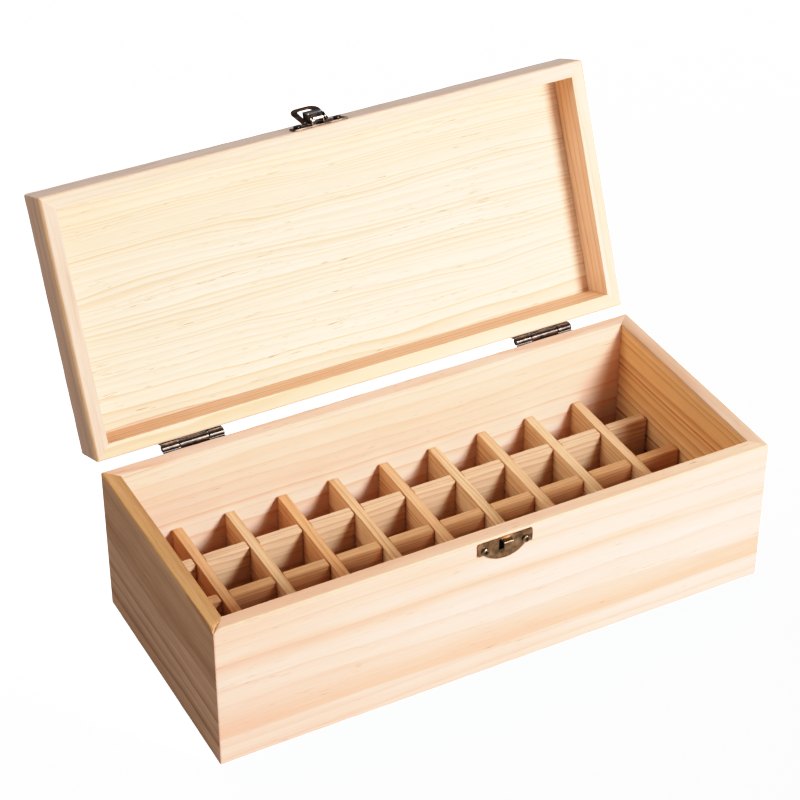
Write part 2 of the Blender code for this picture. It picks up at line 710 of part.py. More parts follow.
def build_bail(bail):
    """A stamped loop about its trunnions. Its plane holds them, and its far bar is the free end."""
    half = BAIL_WIDTH / 2
    inner = half - BAIL_LEG
    far, bar = BAIL_LENGTH, BAIL_LENGTH - BAIL_BAR
    end_round = BAIL_LEG / 3
    loop = rounded(
        [
            (half, -BAIL_TAIL, end_round),
            (half, far, BAIL_OUTER_ROUND),
            (-half, far, BAIL_OUTER_ROUND),
            (-half, -BAIL_TAIL, end_round),
            (-inner, -BAIL_TAIL, 0),
            (-inner, bar, BAIL_INNER_ROUND),
            (inner, bar, BAIL_INNER_ROUND),
            (inner, -BAIL_TAIL, 0),
        ]
    )
    piece = add_piece("latch_bail", to_mesh(outline_mesh(loop, BAIL_SHEET, UPRIGHT), "latch_bail"), BRONZE, bail)
    start = LEVER_WIDTH / 2 - LEVER_SHEET
    for i, way in enumerate((-1, 1)):
        ends = sorted((start * way, (inner + TRUNNION_BITE) * way))
        mesh = to_mesh(rod_mesh(TRUNNION_RADIUS, *ends, SMALL_FACETS), "trunnion")
        combine(piece, add_cutter(f"bail_trunnion_{i + 1}", mesh, bail), "UNION")


def build():
    boards = build_box()
    build_dividers()
    lid = add_empty("lid_axis", None, HINGE_AXIS, Matrix.Rotation(radians(-LID_OPEN_DEG), 4, "X"))
    rails = build_lid(lid)
    build_hinges(lid, boards["back"], rails["back"])
    build_keeper(boards["front"])
    build_latch_base(lid, rails["front"])
    lever = add_empty("latch_lever_axis", lid, LEVER_PIVOT)
    build_lever(lever)
    tilt = Matrix.Rotation(radians(BAIL_TILT_DEG), 4, "X")
    bail = add_empty("latch_bail_axis", lever, BAIL_PIVOT, tilt)
    build_bail(bail)


build()
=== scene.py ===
# Essential oil storage box in raw pine with antique bronze fittings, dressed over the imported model.
# For Blender 4.5, in metres and +Z up. The front faces -Y and the lid stands open.
# Sizes in the dictionaries are millimetres, apart from the studio's.
import json
from math import cos, pi, radians, sin

import bmesh
import bpy
from mathutils import Matrix, Vector, noise


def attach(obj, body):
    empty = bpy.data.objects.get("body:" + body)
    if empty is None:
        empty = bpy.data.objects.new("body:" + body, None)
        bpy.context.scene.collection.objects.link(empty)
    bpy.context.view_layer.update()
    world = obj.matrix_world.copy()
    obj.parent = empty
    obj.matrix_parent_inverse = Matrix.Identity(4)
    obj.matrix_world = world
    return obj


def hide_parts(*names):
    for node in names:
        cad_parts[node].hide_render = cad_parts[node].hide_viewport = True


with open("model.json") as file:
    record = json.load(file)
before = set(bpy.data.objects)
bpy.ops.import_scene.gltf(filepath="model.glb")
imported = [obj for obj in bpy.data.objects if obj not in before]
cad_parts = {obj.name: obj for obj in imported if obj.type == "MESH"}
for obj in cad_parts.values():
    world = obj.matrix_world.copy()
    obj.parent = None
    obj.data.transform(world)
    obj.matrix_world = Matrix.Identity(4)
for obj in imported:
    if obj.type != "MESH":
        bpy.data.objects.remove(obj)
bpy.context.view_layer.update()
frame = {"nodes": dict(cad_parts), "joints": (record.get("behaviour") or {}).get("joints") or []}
mm = 0.001
print("frame loaded")

# The lid and the latch are drawn closed about the hinge axis and turned open with these.
joints = {joint["name"]: joint for joint in frame["joints"]}
hingeAxis = Vector(joints["lid_hinge"]["pos_m"])
lidOpen = joints["lid_hinge"]["range_deg"][1]
lidTurn = Matrix.Translation(hingeAxis) @ Matrix.Rotation(radians(-lidOpen), 4, "X")


# Helpers


def hexColour(text):
    # sRGB hex to linear
    parts = [int(text[i : i + 2], 16) / 255 for i in (1, 3, 5)]
    return (*[c / 12.92 if c <= 0.04045 else ((c + 0.055) / 1.055) ** 2.4 for c in parts], 1.0)


def addNode(tree, kind, links=None, stops=None, curve="LINEAR", **settings):
    # One node with its settings. links gives each input a number or another node, or its output,
    # and stops gives a colour ramp its places with a grey or a colour.
    node = tree.nodes.new(kind)
    for name, value in settings.items():
        setattr(node, name, value)
    if stops:
        elements = node.color_ramp.elements
        elements.remove(elements[1])
        for place, tone in stops[1:]:
            elements.new(place)
        for element, (place, tone) in zip(elements, stops):
            element.position = place
            element.color = tone if isinstance(tone, tuple) else (tone, tone, tone, 1)
        node.color_ramp.interpolation = curve
    for socket, value in (links or {}).items():
        target = node.inputs[socket]
        if isinstance(value, bpy.types.Node):
            value = next(out for out in value.outputs if out.enabled)
        if isinstance(value, bpy.types.NodeSocket):
            tree.links.new(value, target)
        else:
            target.default_value = value
    return node


def newMaterial(name):
    material = bpy.data.materials.new(name)
    material.use_nodes = True
    material.node_tree.nodes.clear()
    return material, material.node_tree


def newObject(name, data):
    item = bpy.data.objects.new(name, data)
    bpy.context.scene.collection.objects.link(item)
    return item


def finishPiece(name, mesh, body, nodes, material):
    # A plain mesh becomes a piece of the object
    piece = newObject(name, mesh)
    mesh.materials.clear()
    mesh.materials.append(material)
    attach(piece, body)
    if nodes:
        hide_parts(*nodes)


def evaluated(guide):
    # The mesh of a guide object with its modifiers applied, and the guide removed
    bpy.context.view_layer.update()
    graph = bpy.context.evaluated_depsgraph_get()
    mesh = bpy.data.meshes.new_from_object(guide.evaluated_get(graph), depsgraph=graph)
    bpy.data.objects.remove(guide)
    return mesh


def meshFrom(bm, name):
    mesh = bpy.data.meshes.new(name)
    bm.to_mesh(mesh)
    bm.free()
    return mesh


def turnedOut(bm):
    # Faces of a closed shape made to point outwards
    bmesh.ops.recalc_face_normals(bm, faces=bm.faces)
    if bm.calc_volume(signed=True) < 0:
        bmesh.ops.reverse_faces(bm, faces=bm.faces)
    return bm


def softShaded(mesh, limit=50):
    # Smooth shading led by the large faces, so that flats look flat and rounds look round
    mesh.shade_smooth()
    mesh.set_sharp_from_angle(angle=radians(limit))
    guide = newObject("guide", mesh)
    weighted = guide.modifiers.new("weighted", "WEIGHTED_NORMAL")
    weighted.keep_sharp = True
    return evaluated(guide)


# Pine

pineStock = {
    "pale": "#EBCDA6",  # early wood
    "late": "#C98B52",  # late wood lines
    "blush": "#E0AE7E",  # broad warmer bands
    "dash": "#9C7B58",  # resin canals
    "pith": (95, -34),  # centre of the tree, across and into the board
    "ring": 2.6,  # from one late wood line to the next
    "ringContrast": 0.5,
    "faintest": 0.25,  # share of that contrast in the palest ring
    "lateStart": 0.4,  # share of a ring before its late wood sets in
    "edgeContrast": 1.0,  # share of the ring contrast left beyond the outer face
    "edgeDepths": (0.2, 1.6),  # where that share starts and is full
    "wander": 7,
    "wobble": 0.9,
    "unevenScale": 0.31,  # how soon the spacing changes, per ring
    "uneven": 2.6,  # how far it changes, in rings
    "taper": 0.008,
    "bands": [(0, 0.2), (30, 0.0), (60, 0.35), (90, 0.1)],  # heights, each with its share of blush
    "cloud": 0.28,  # blush that comes and goes along the board
    "cloudLimits": (0.35, 0.7),  # values of its noise where it starts and is full
    "lean": 0.0,  # extra blush towards the left end
    "leanPlaces": (-150, 60),  # where it is full and where it ends
    "glueLines": [],  # where a strip of the board meets the next: height and slope
    "dashes": 0.5,
    "dashLimit": 0.7,
    "dashSoftness": 0.05,
    "dashPatches": (0.5, 0.62),  # values of their noise where a patch of dashes starts and is full
    "fineShare": 0.6,  # of the grain's tone, and streaks give the rest
    "grainLimits": (0.3, 0.7),  # values of that tone that count as darkest and brightest
    "fibre": 0.10,
    "fibreLight": 0.6,  # fibres brighten the wood by this share of what they darken it
    "relief": 0.06,
    "roughness": 0.58,
    "roughnessSpread": (0.08, -0.05),  # added where the grain is dark and where it is bright
    "gloss": 0.2,
    "edgeLightAndShade": [],  # painted light and shade on edges, as early wood of another tone: heights where it starts and is full, colour
    "shadedRim": None,  # colour of a rim's outer edge, painted shade where the rounded edge turns from the light
    "shadedRimDepths": (1.3, 1.9),  # where that painted shade fades, into the rail
    "shadedRimHeights": (0.3, 0.9),  # and up its face
    "stockToneAndShade": None,  # tone of the warmest strip, where each strip differs; on the long dividers it is painted shade on the middle strip
    "stockShare": 0.75,  # how far the warmest strip takes it
    "seed": 1,
}
# Each mark's length and width, then the detail and roughness of its noise. Real fibres and resin canals
# are finer, and are drawn as coarse as they need to show.
grainMarks = {
    "wander": (150, 26, 2, 0.5),
    "wobble": (34, 5, 2, 0.5),
    "cloud": (70, 9, 3, 0.6),
    "canal": (9, 0.42, 1, 0.5),
    "canalPatch": (38, 5, 2, 0.5),
    "fibre": (16, 0.35, 3, 0.65),
    "streak": (60, 1.6, 3, 0.6),
}
# How far apart in the tree two glued strips, two dividers and two seeds are cut
grainSteps = {"strip": (170, 41, 13), "stock": (800, 60, 20), "seed": (613, 0, 97)}


def pine(name, **changes):
    # Raw pine, planed and sanded: cream early wood with thin orange late wood lines, a dry satin face.
    # The lines stand 2 to 10 mm apart, with fibres and short dashes of resin between them.
    look = {**pineStock, **changes}
    material, tree = newMaterial(name)
    grain = addNode(tree, "ShaderNodeAttribute", attribute_name="grain").outputs["Vector"]
    along, height, deep = addNode(tree, "ShaderNodeSeparateXYZ", {0: grain}).outputs

    # Boards are glued up from strips, and each strip has its own rings
    strip = addNode(tree, "ShaderNodeValue")
    strip.outputs[0].default_value = 0
    for place, slope in look["glueLines"]:
        tilted = addNode(tree, "ShaderNodeMath", {0: along, 1: slope, 2: height}, operation="MULTIPLY_ADD")
        above = addNode(tree, "ShaderNodeMath", {0: tilted, 1: place}, operation="GREATER_THAN")
        strip = addNode(tree, "ShaderNodeMath", {0: strip, 1: above}, operation="ADD")
    links = {0: strip, 1: grainSteps["strip"], 2: grain}
    moved = addNode(tree, "ShaderNodeVectorMath", links, operation="MULTIPLY_ADD")
    if look["stockToneAndShade"]:
        stock = addNode(tree, "ShaderNodeAttribute", attribute_name="stock").outputs["Vector"]
        links = {0: stock, 1: grainSteps["stock"], 2: moved}
        moved = addNode(tree, "ShaderNodeVectorMath", links, operation="MULTIPLY_ADD")
    cut = [step * look["seed"] for step in grainSteps["seed"]]
    seeded = addNode(tree, "ShaderNodeVectorMath", {0: moved, 1: cut}, operation="ADD")

    def grainNoise(mark):
        # Noise drawn out along the grain
        long, wide, detail, rough = grainMarks[mark]
        scale = (1 / long, 1 / wide, 1 / wide)
        scaled = addNode(tree, "ShaderNodeVectorMath", {0: seeded, 1: scale}, operation="MULTIPLY")
        links = {"Vector": scaled, "Scale": 1.0, "Detail": detail, "Roughness": rough}
        return addNode(tree, "ShaderNodeTexNoise", links)

    # Rings: shells about the pith that wander along the board
    slow = grainNoise("wander")
    wander, pith = look["wander"], look["pith"]
    centre = (0, -wander / 2 - pith[0], -wander / 2 - pith[1])
    links = {0: slow.outputs["Color"], 1: (0, wander, wander), 2: centre}
    drift = addNode(tree, "ShaderNodeVectorMath", links, operation="MULTIPLY_ADD")
    fromPith = addNode(tree, "ShaderNodeVectorMath", {0: moved, 1: drift}, operation="ADD")
    sectioned = addNode(tree, "ShaderNodeVectorMath", {0: fromPith, 1: (0, 1, 1)}, operation="MULTIPLY")
    radius = addNode(tree, "ShaderNodeVectorMath", {0: sectioned}, operation="LENGTH").outputs["Value"]
    links = {0: along, 1: look["taper"], 2: radius}
    tapered = addNode(tree, "ShaderNodeMath", links, operation="MULTIPLY_ADD")
    links = {0: grainNoise("wobble"), 1: look["wobble"], 2: tapered}
    wobble = addNode(tree, "ShaderNodeMath", links, operation="MULTIPLY_ADD")
    rings = addNode(tree, "ShaderNodeMath", {0: wobble, 1: look["ring"]}, operation="DIVIDE")
    links = {"W": rings, "Scale": look["unevenScale"], "Detail": 1.0}
    uneven = addNode(tree, "ShaderNodeTexNoise", links, noise_dimensions="1D")
    links = {0: uneven, 1: look["uneven"], 2: rings}
    spaced = addNode(tree, "ShaderNodeMath", links, operation="MULTIPLY_ADD")
    phase = addNode(tree, "ShaderNodeMath", {0: spaced}, operation="FRACT")
    number = addNode(tree, "ShaderNodeMath", {0: spaced}, operation="FLOOR")
    ringTone = addNode(tree, "ShaderNodeTexWhiteNoise", {"W": number}, noise_dimensions="1D")

    # Late wood darkens slowly through a ring and ends sharply, and rings differ in strength
    early = look["lateStart"]
    lateStops = [(0.0, 0.0), (early, 0.1), ((early + 1) / 2, 0.5), (0.88, 1.0), (0.95, 0.9), (1.0, 0.0)]
    late = addNode(tree, "ShaderNodeValToRGB", {0: phase}, stops=lateStops)
    contrast = look["ringContrast"]
    links = {0: ringTone.outputs["Value"], 1: 0, 2: 1, 3: look["faintest"] * contrast, 4: contrast}
    strength = addNode(tree, "ShaderNodeMapRange", links)
    strength = addNode(tree, "ShaderNodeMath", {0: late, 1: strength}, operation="MULTIPLY")
    start, full = look["edgeDepths"]
    links = {0: deep, 1: start, 2: full, 3: 1.0, 4: look["edgeContrast"]}
    onFace = addNode(tree, "ShaderNodeMapRange", links)
    lateWood = addNode(tree, "ShaderNodeMath", {0: strength, 1: onFace}, operation="MULTIPLY")

    # Broad bands across the board, and a slow change of tone
    reach = max(place for place, amount in look["bands"])
    links = {0: slow.outputs["Fac"], 1: wander, 2: height}
    bandWander = addNode(tree, "ShaderNodeMath", links, operation="MULTIPLY_ADD")
    links = {0: bandWander, 1: wander / 2, 2: reach + wander / 2, 3: 0.0, 4: 1.0}
    bandPlace = addNode(tree, "ShaderNodeMapRange", links)
    bandStops = [(place / reach, amount) for place, amount in look["bands"]]
    bands = addNode(tree, "ShaderNodeValToRGB", {0: bandPlace}, stops=bandStops, curve="EASE")
    start, full = look["cloudLimits"]
    links = {0: grainNoise("cloud"), 1: start, 2: full, 3: 0.0, 4: 1.0}
    cloud = addNode(tree, "ShaderNodeMapRange", links)
    links = {0: cloud, 1: look["cloud"], 2: bands}
    blush = addNode(tree, "ShaderNodeMath", links, operation="MULTIPLY_ADD")
    full, end = look["leanPlaces"]
    leaning = addNode(tree, "ShaderNodeMapRange", {0: along, 1: full, 2: end, 3: look["lean"], 4: 0.0})
    blush = addNode(tree, "ShaderNodeMath", {0: blush, 1: leaning}, operation="ADD", use_clamp=True)

    # Resin canals in short dashes, in patches
    limit = look["dashLimit"]
    links = {0: grainNoise("canal"), 1: limit, 2: limit + look["dashSoftness"], 3: 0.0, 4: 1.0}
    canals = addNode(tree, "ShaderNodeMapRange", links)
    start, full = look["dashPatches"]
    links = {0: grainNoise("canalPatch"), 1: start, 2: full, 3: 0.0, 4: 1.0}
    patches = addNode(tree, "ShaderNodeMapRange", links)
    dashes = addNode(tree, "ShaderNodeMath", {0: canals, 1: patches}, operation="MULTIPLY")
    dashes = addNode(tree, "ShaderNodeMath", {0: dashes, 1: look["dashes"]}, operation="MULTIPLY")

    # Fibres and streaks
    links = {0: grainNoise("fibre"), 1: look["fineShare"]}
    fine = addNode(tree, "ShaderNodeMath", links, operation="MULTIPLY")
    links = {0: grainNoise("streak"), 1: 1 - look["fineShare"], 2: fine}
    grainTone = addNode(tree, "ShaderNodeMath", links, operation="MULTIPLY_ADD")
    darkest, brightest = look["grainLimits"]
    dull, bright = 1 - look["fibre"], 1 + look["fibre"] * look["fibreLight"]
    links = {0: grainTone, 1: darkest, 2: brightest, 3: dull, 4: bright}
    brightness = addNode(tree, "ShaderNodeMapRange", links)

    colour = hexColour(look["pale"])
    for share, tone in ((blush, "blush"), (lateWood, "late"), (dashes, "dash")):
        links = {0: share, 6: colour, 7: hexColour(look[tone])}
        colour = addNode(tree, "ShaderNodeMix", links, data_type="RGBA")
    # Each strip's own tone, which on the long dividers is painted shade on the middle strip
    if look["stockToneAndShade"]:
        which = addNode(tree, "ShaderNodeSeparateXYZ", {0: stock}).outputs["X"]
        links = {0: which, 1: 0.3, 2: 1.0, 3: 0.0, 4: look["stockShare"]}
        share = addNode(tree, "ShaderNodeMapRange", links)
        links = {0: 1.0, 6: colour, 7: hexColour(look["stockToneAndShade"])}
        toned = addNode(tree, "ShaderNodeMix", links, data_type="RGBA", blend_type="MULTIPLY")
        colour = addNode(tree, "ShaderNodeMix", {0: share, 6: colour, 7: toned}, data_type="RGBA")
    colour = addNode(tree, "ShaderNodeVectorMath", {0: colour, "Scale": brightness}, operation="SCALE")

    def retoned(share, before, after):
        # The colour so far, with its early wood turned from one tone to another, to paint light and shade on
        # an edge
        change = [new / old for new, old in zip(hexColour(after)[:3], hexColour(before))]
        toned = addNode(tree, "ShaderNodeVectorMath", {0: colour, 1: change}, operation="MULTIPLY")
        return addNode(tree, "ShaderNodeMix", {0: share, 6: colour, 7: toned}, data_type="RGBA")

    # Painted light and shade near the edges: from each height on, the early wood takes that edge's tone
    last = look["pale"]
    for start, full, tone in look["edgeLightAndShade"]:
        share = addNode(tree, "ShaderNodeMapRange", {0: height, 1: start, 2: full, 3: 0.0, 4: 1.0})
        colour = retoned(share, last, tone)
        last = tone
    # Painted shade on a rim's rounded outer edge
    if look["shadedRim"]:
        full, end = look["shadedRimDepths"]
        outer = addNode(tree, "ShaderNodeMapRange", {0: deep, 1: full, 2: end, 3: 1.0, 4: 0.0})
        full, end = look["shadedRimHeights"]
        lowest = addNode(tree, "ShaderNodeMapRange", {0: height, 1: full, 2: end, 3: 1.0, 4: 0.0})
        share = addNode(tree, "ShaderNodeMath", {0: outer, 1: lowest}, operation="MULTIPLY")
        colour = retoned(share, look["pale"], look["shadedRim"])

    dry, worn = [look["roughness"] + change for change in look["roughnessSpread"]]
    links = {0: grainTone, 1: darkest, 2: brightest, 3: dry, 4: worn}
    roughness = addNode(tree, "ShaderNodeMapRange", links)
    relief = addNode(tree, "ShaderNodeMath", {0: lateWood, 1: 0.5, 2: grainTone}, operation="MULTIPLY_ADD")
    links = {"Strength": 0.5, "Distance": look["relief"] * mm, "Height": relief}
    bump = addNode(tree, "ShaderNodeBump", links)
    links = {
        "Base Color": colour,
        "Roughness": roughness,
        "IOR": 1.53,
        "Specular IOR Level": look["gloss"],
        "Normal": bump,
    }
    shader = addNode(tree, "ShaderNodeBsdfPrincipled", links)
    addNode(tree, "ShaderNodeOutputMaterial", {"Surface": shader})
    return material


# Mitred boards of the box and rails of the lid

boxSizes = {
    "length": 300.0,
    "depth": 132.8,
    "height": 82.4,
    "board": 7.8,
    "floor": 3.2,
    "rabbet": 4.0,
    "edge": 1.0,
    "innerEdge": 0.4,
    "mitreGap": 0.02,
    "edgeWear": 0.18,
    "wearSpan": 9.0,  # length of a rubbed place
    "wearRise": 30.0,  # and its height
    "wearShare": 0.4,  # 0 rubs half of an edge, more rubs more of it
    "wearEnd": 1.0,  # left alone beside a mitre
    "wearFade": 6.0,  # over which the wear dies out before that
}
# Radius of the sanded upper corners at the front, by wall and by its end: True is +X of its own axes
cornerRounds = {
    ("boxFrontBoard", False): 3.6,
    ("boxLeftBoard", True): 3.6,
    ("boxFrontBoard", True): 1.6,
    ("boxRightBoard", False): 1.6,
}
lidSizes = {
    **boxSizes,
    "height": 23.6,
    "edge": 1.5,
    "innerEdge": 0.25,
    "gap": 1.2,  # between the closed lid and the box
    "hingeOffset": 2.4,  # from the back face to the hinge's axis
    "panel": 3.2,
}


def arcPoints(centre, radius, start, end, steps=4):
    angles = [radians(start + (end - start) * i / steps) for i in range(steps + 1)]
    return [(centre[0] + radius * cos(a), centre[1] + radius * sin(a)) for a in angles]


def wallProfile(sizes, lidRail):
    # Section of a wall, (inset from the outer face, height), from the rabbet round to the rabbet
    thick, high, edge, inner = sizes["board"], sizes["height"], sizes["edge"], sizes["innerEdge"]
    seat, floor, rows = thick - sizes["rabbet"], sizes["floor"], 8
    section = [(seat, 0.0)]
    section += arcPoints((edge, edge), edge, 270, 180)
    section += [(0.0, high * i / rows) for i in range(1, rows)]
    section += arcPoints((edge, high - edge), edge, 180, 90)
    section += arcPoints((thick - inner, high - inner), inner, 90, 0, 3)
    section += [(thick, floor), (seat, floor)]
    if lidRail:
        # A rail of the lid stands on its rim, so its section is turned over
        section = [(inset, high - z) for inset, z in reversed(section)]
    return section


def wallMesh(name, sizes, side, lidRail=False):
    # One wall swept along its side, with half a rounded corner and a mitre at each end.
    # Its own axes are along the wall, inward, and up.
    span = sizes["length"] if side in ("front", "back") else sizes["depth"]
    half, board, edge = span / 2, sizes["board"], sizes["edge"]
    section = wallProfile(sizes, lidRail)
    # A corner's stations and where it begins before the mitre, the length between the other stations,
    # and the share of a corner before its edge bends
    cornerSteps, early, stride, bendFrom = 10, 0.5, 3.0, 0.6
    straight = half - board - early
    count = int(2 * straight / stride)
    stations = [("corner", -1, 1 - k / cornerSteps) for k in range(cornerSteps)]
    stations += [("straight", 0, -straight + 2 * straight * k / count) for k in range(count + 1)]
    stations += [("corner", 1, (k + 1) / cornerSteps) for k in range(cornerSteps)]
    bm = bmesh.new()
    rows = []
    for kind, end, share in stations:
        row = []
        for inset, height in section:
            if kind == "straight":
                along, inward = share, inset
            elif inset < edge:
                turn = radians(45 * max(0, (share - bendFrom) / (1 - bendFrom)))
                along = straight + (half - edge - straight) * min(1, share / bendFrom)
                along = end * (along + (edge - inset) * sin(turn))
                inward = edge - (edge - inset) * cos(turn)
            else:
                along, inward = end * (straight + (half - inset - straight) * share), inset
            if kind == "corner":
                along -= end * share * sizes["mitreGap"] / 2
            row.append(bm.verts.new((along, inward, height)))
        rows.append(row)
    for first, second in zip(rows, rows[1:]):
        for i in range(len(section)):
            j = (i + 1) % len(section)
            bm.faces.new((first[i], first[j], second[j], second[i]))
    bm.faces.new(rows[0])
    bm.faces.new(list(reversed(rows[-1])))
    turnedOut(bm)
    # Sanding has rounded the upper left corner of the front, and handling has rubbed the long outer edges.
    # Both boards of a corner are lowered by the same curve, so that their mitre stays shut.
    for vertex in bm.verts:
        along, inward, height = vertex.co
        corner = cornerRounds.get((name, along > 0))
        beyond = abs(along) - half + corner if corner else 0
        if beyond > 0:
            vertex.co.z = min(height, sizes["height"] - corner + max(corner**2 - beyond**2, 0) ** 0.5)
        along, inward, height = vertex.co
        fromEdge = min(height, sizes["height"] - height)
        if inward < edge and fromEdge < edge:
            place = Vector((along / sizes["wearSpan"], height / sizes["wearRise"], len(side) * 7.3))
            rub = max(0, sizes["edgeWear"] * (noise.noise(place) + sizes["wearShare"]))
            rub *= min(1, max(0, (half - abs(along) - sizes["wearEnd"]) / sizes["wearFade"]))
            vertex.co.y += rub * (1 - inward / edge)
            vertex.co.z += rub * (1 - fromEdge / edge) * (1 if height < edge else -1)
    return bm


sideTurns = {"front": 0, "right": 90, "back": 180, "left": -90}


def wallPlace(sizes, side):
    # Turns a wall's own axes to its side of the ring
    reach = (sizes["depth"] if side in ("front", "back") else sizes["length"]) / 2
    return Matrix.Rotation(radians(sideTurns[side]), 4, "Z") @ Matrix.Translation((0, -reach, 0))


def buildWall(name, node, sizes, side, body, material, turn=Matrix(), lift=0.0, shift=0.0, lidRail=False):
    bm = wallMesh(name, sizes, side, lidRail)
    place = turn @ Matrix.Scale(mm, 4) @ Matrix.Translation((0, shift, lift)) @ wallPlace(sizes, side)
    layer = bm.verts.layers.float_vector.new("grain")
    for vertex in bm.verts:
        along, inward, height = vertex.co
        vertex[layer] = (along, height, inward)
    bm.transform(place)
    finishPiece(name, softShaded(meshFrom(bm, name)), body, [node], material)


# Only the values of pineStock that a board has of its own. The tones near each top edge are painted light
# and shade.
boxPine = {
    "front": dict(
        pale="#F2CBB3",
        late="#D8977A",
        blush="#E9AF8E",
        lean=0.16,
        edgeLightAndShade=[(80.9, 81.5, "#E6C09E")],
        pith=(52, -40),
        ring=6.5,
        ringContrast=0.44,
        glueLines=[(14.3, 0.0073), (51.5, 0.0)],
        bands=[
            *[(0, 0.25), (6, 0.1), (14, 0.1), (15.5, 1.0), (22, 0.65), (31, 0.1)],
            *[(50, 0.0), (58, 0.55), (63, 0.1), (75, 0.4), (82.4, 0.2)],
        ],
        dashes=0.8,
        dashLimit=0.67,
        seed=3,
    ),
    "back": dict(
        pale="#F7D8BE",
        late="#DE9C62",
        blush="#EBB891",
        edgeLightAndShade=[(80.9, 81.5, "#F1CEB4")],
        pith=(-70, -34),
        ring=6.6,
        ringContrast=0.6,
        wander=11,
        dashes=0.8,
        seed=5,
    ),
    # Darker than the other boards, mostly as painted shade: its outer face turns away from the key light
    "left": dict(
        pale="#C9A080",
        late="#885A3C",
        blush="#AF855F",
        edgeLightAndShade=[(80.5, 81.1, "#D4A16F")],
        pith=(130, -60),
        ring=9.5,
        ringContrast=0.66,
        lateStart=0.3,
        wander=12,
        fibre=0.28,
        glueLines=[(52, 0.02)],
        bands=[(0, 0.15), (28, 0.0), (44, 0.1), (54, 0.6), (66, 0.35), (74, 0.7), (82.4, 0.2)],
        seed=8,
    ),
    "right": dict(
        pale="#EAC089",
        late="#9A5218",
        blush="#D89E62",
        edgeLightAndShade=[(80.5, 81.1, "#EACDAE")],
        pith=(-60, -30),
        ring=5.2,
        ringContrast=0.6,
        edgeContrast=1.67,
        lateStart=0.3,
        wander=6,
        fibre=0.16,
        seed=11,
    ),
}
# The tones near each rail's rim are painted light and shade
lidPine = {
    "front": dict(
        pale="#F2CDB2",
        late="#CC9872",
        edgeLightAndShade=[(0.9, 1.7, "#F8DDC9")],
        pith=(12, -60),
        ring=3.1,
        fibre=0.2,
        seed=14,
    ),
    "back": dict(
        pale="#F6D4B4",
        late="#BC7C38",
        blush="#E8B478",
        pith=(-34, -6),
        ring=3.4,
        ringContrast=0.7,
        seed=17,
    ),
    # The left rail turns away from the light: its edge tones and rim colour paint shade on its rounded rim
    # edge and its face
    "left": dict(
        pale="#ECC6AC",
        late="#9C7054",
        blush="#D0A484",
        edgeLightAndShade=[(0.3, 0.9, "#E4BA92"), (3.2, 4.2, "#D3AF94")],
        shadedRim="#C69E78",
        pith=(50, -50),
        ring=5.2,
        ringContrast=0.3,
        lateStart=0.3,
        edgeContrast=0.4,
        fibre=0.26,
        seed=20,
    ),
    "right": dict(
        pale="#F3D2B2",
        late="#C88F58",
        pith=(-20, -25),
        ring=3.4,
        ringContrast=0.6,
        wander=9,
        fibre=0.16,
        seed=23,
    ),
}

for side, look in boxPine.items():
    material = pine(f"sandedPineBox{side.title()}", **look)
    buildWall(f"box{side.title()}Board", f"box_{side}_board", boxSizes, side, "box", material)
lidShift = -lidSizes["hingeOffset"] - lidSizes["depth"] / 2
lidLift = lidSizes["gap"] / 2
for side, look in lidPine.items():
    material = pine(f"sandedPineLid{side.title()}", **look)
    name, node = f"lid{side.title()}Rail", f"lid_{side}_rail"
    buildWall(name, node, lidSizes, side, "lid", material, lidTurn, lidLift, lidShift, lidRail=True)
print("boards and rails made")


# Panels set in the rabbets

panelSizes = {"gap": 0.15, "edge": 0.3}


def buildPanel(name, node, sizes, low, high, body, material, turn=Matrix(), shift=0.0):
    # A flat board between two heights, reaching into the rabbets
    reachX = sizes["length"] / 2 - sizes["board"] + sizes["rabbet"] - panelSizes["gap"]
    reachY = sizes["depth"] / 2 - sizes["board"] + sizes["rabbet"] - panelSizes["gap"]
    bm = bmesh.new()
    bmesh.ops.create_cube(bm, size=2)
    bmesh.ops.scale(bm, vec=(reachX, reachY, (high - low) / 2), verts=bm.verts)
    bmesh.ops.translate(bm, vec=(0, 0, (high + low) / 2), verts=bm.verts)
    bmesh.ops.bevel(bm, geom=bm.edges[:], offset=panelSizes["edge"], segments=2, affect="EDGES", profile=0.5)
    layer = bm.verts.layers.float_vector.new("grain")
    for vertex in bm.verts:
        vertex[layer] = (vertex.co.x, -vertex.co.y + sizes["depth"] / 2, vertex.co.z - low)
    bm.transform(turn @ Matrix.Scale(mm, 4) @ Matrix.Translation((0, shift, 0)))
    finishPiece(name, softShaded(meshFrom(bm, name)), body, [node], material)


lidPanelPine = dict(
    pale="#F4D5B4",
    late="#CF9468",
    blush="#E9C19A",
    pith=(-14, -30),
    ring=2.6,
    ringContrast=0.7,
    lateStart=0.2,
    wander=12,
    taper=0.014,
    dashes=0.9,
    dashLimit=0.66,
    bands=[(0, 0.0), (36, 0.0), (52, 0.2), (62, 0.0), (84, 0.05), (104, 0.35), (132, 0.4)],
    seed=31,
)
floorPine = dict(pale="#E6C79E", late="#C08A55", pith=(60, -30), ring=3.0, seed=37)
lidTop = lidLift + lidSizes["height"]
panelFoot = lidTop - lidSizes["panel"] + panelSizes["gap"]
material = pine("sandedPineLidPanel", **lidPanelPine)
buildPanel("lidPanel", "lid_panel", lidSizes, panelFoot, lidTop, "lid", material, lidTurn, lidShift)
floorTop = boxSizes["floor"] - panelSizes["gap"]
material = pine("sandedPineBottom", **floorPine)
buildPanel("bottomPanel", "bottom_panel", boxSizes, 0, floorTop, "box", material)
print("panels made")


# Bottle dividers, half lapped, repeated by Geometry Nodes from one cross and one long strip

dividerSizes = {
    "crossCount": 9,
    "longCount": 3,
    "thick": 5.0,
    "top": 41.0,
    "foot": 3.35,
    "endRound": 1.5,
    "toothRound": 1.8,
    "lapGap": 0.3,
    "wallGap": 0.35,
    "endGap": 0.8,
    "edge": 0.25,
    "jitter": 0.1,
    "crossSeed": 3,
    # the long strips' seed puts the darker stock tone, painted shade, on the middle strip
    "longShadeSeed": 5,
}


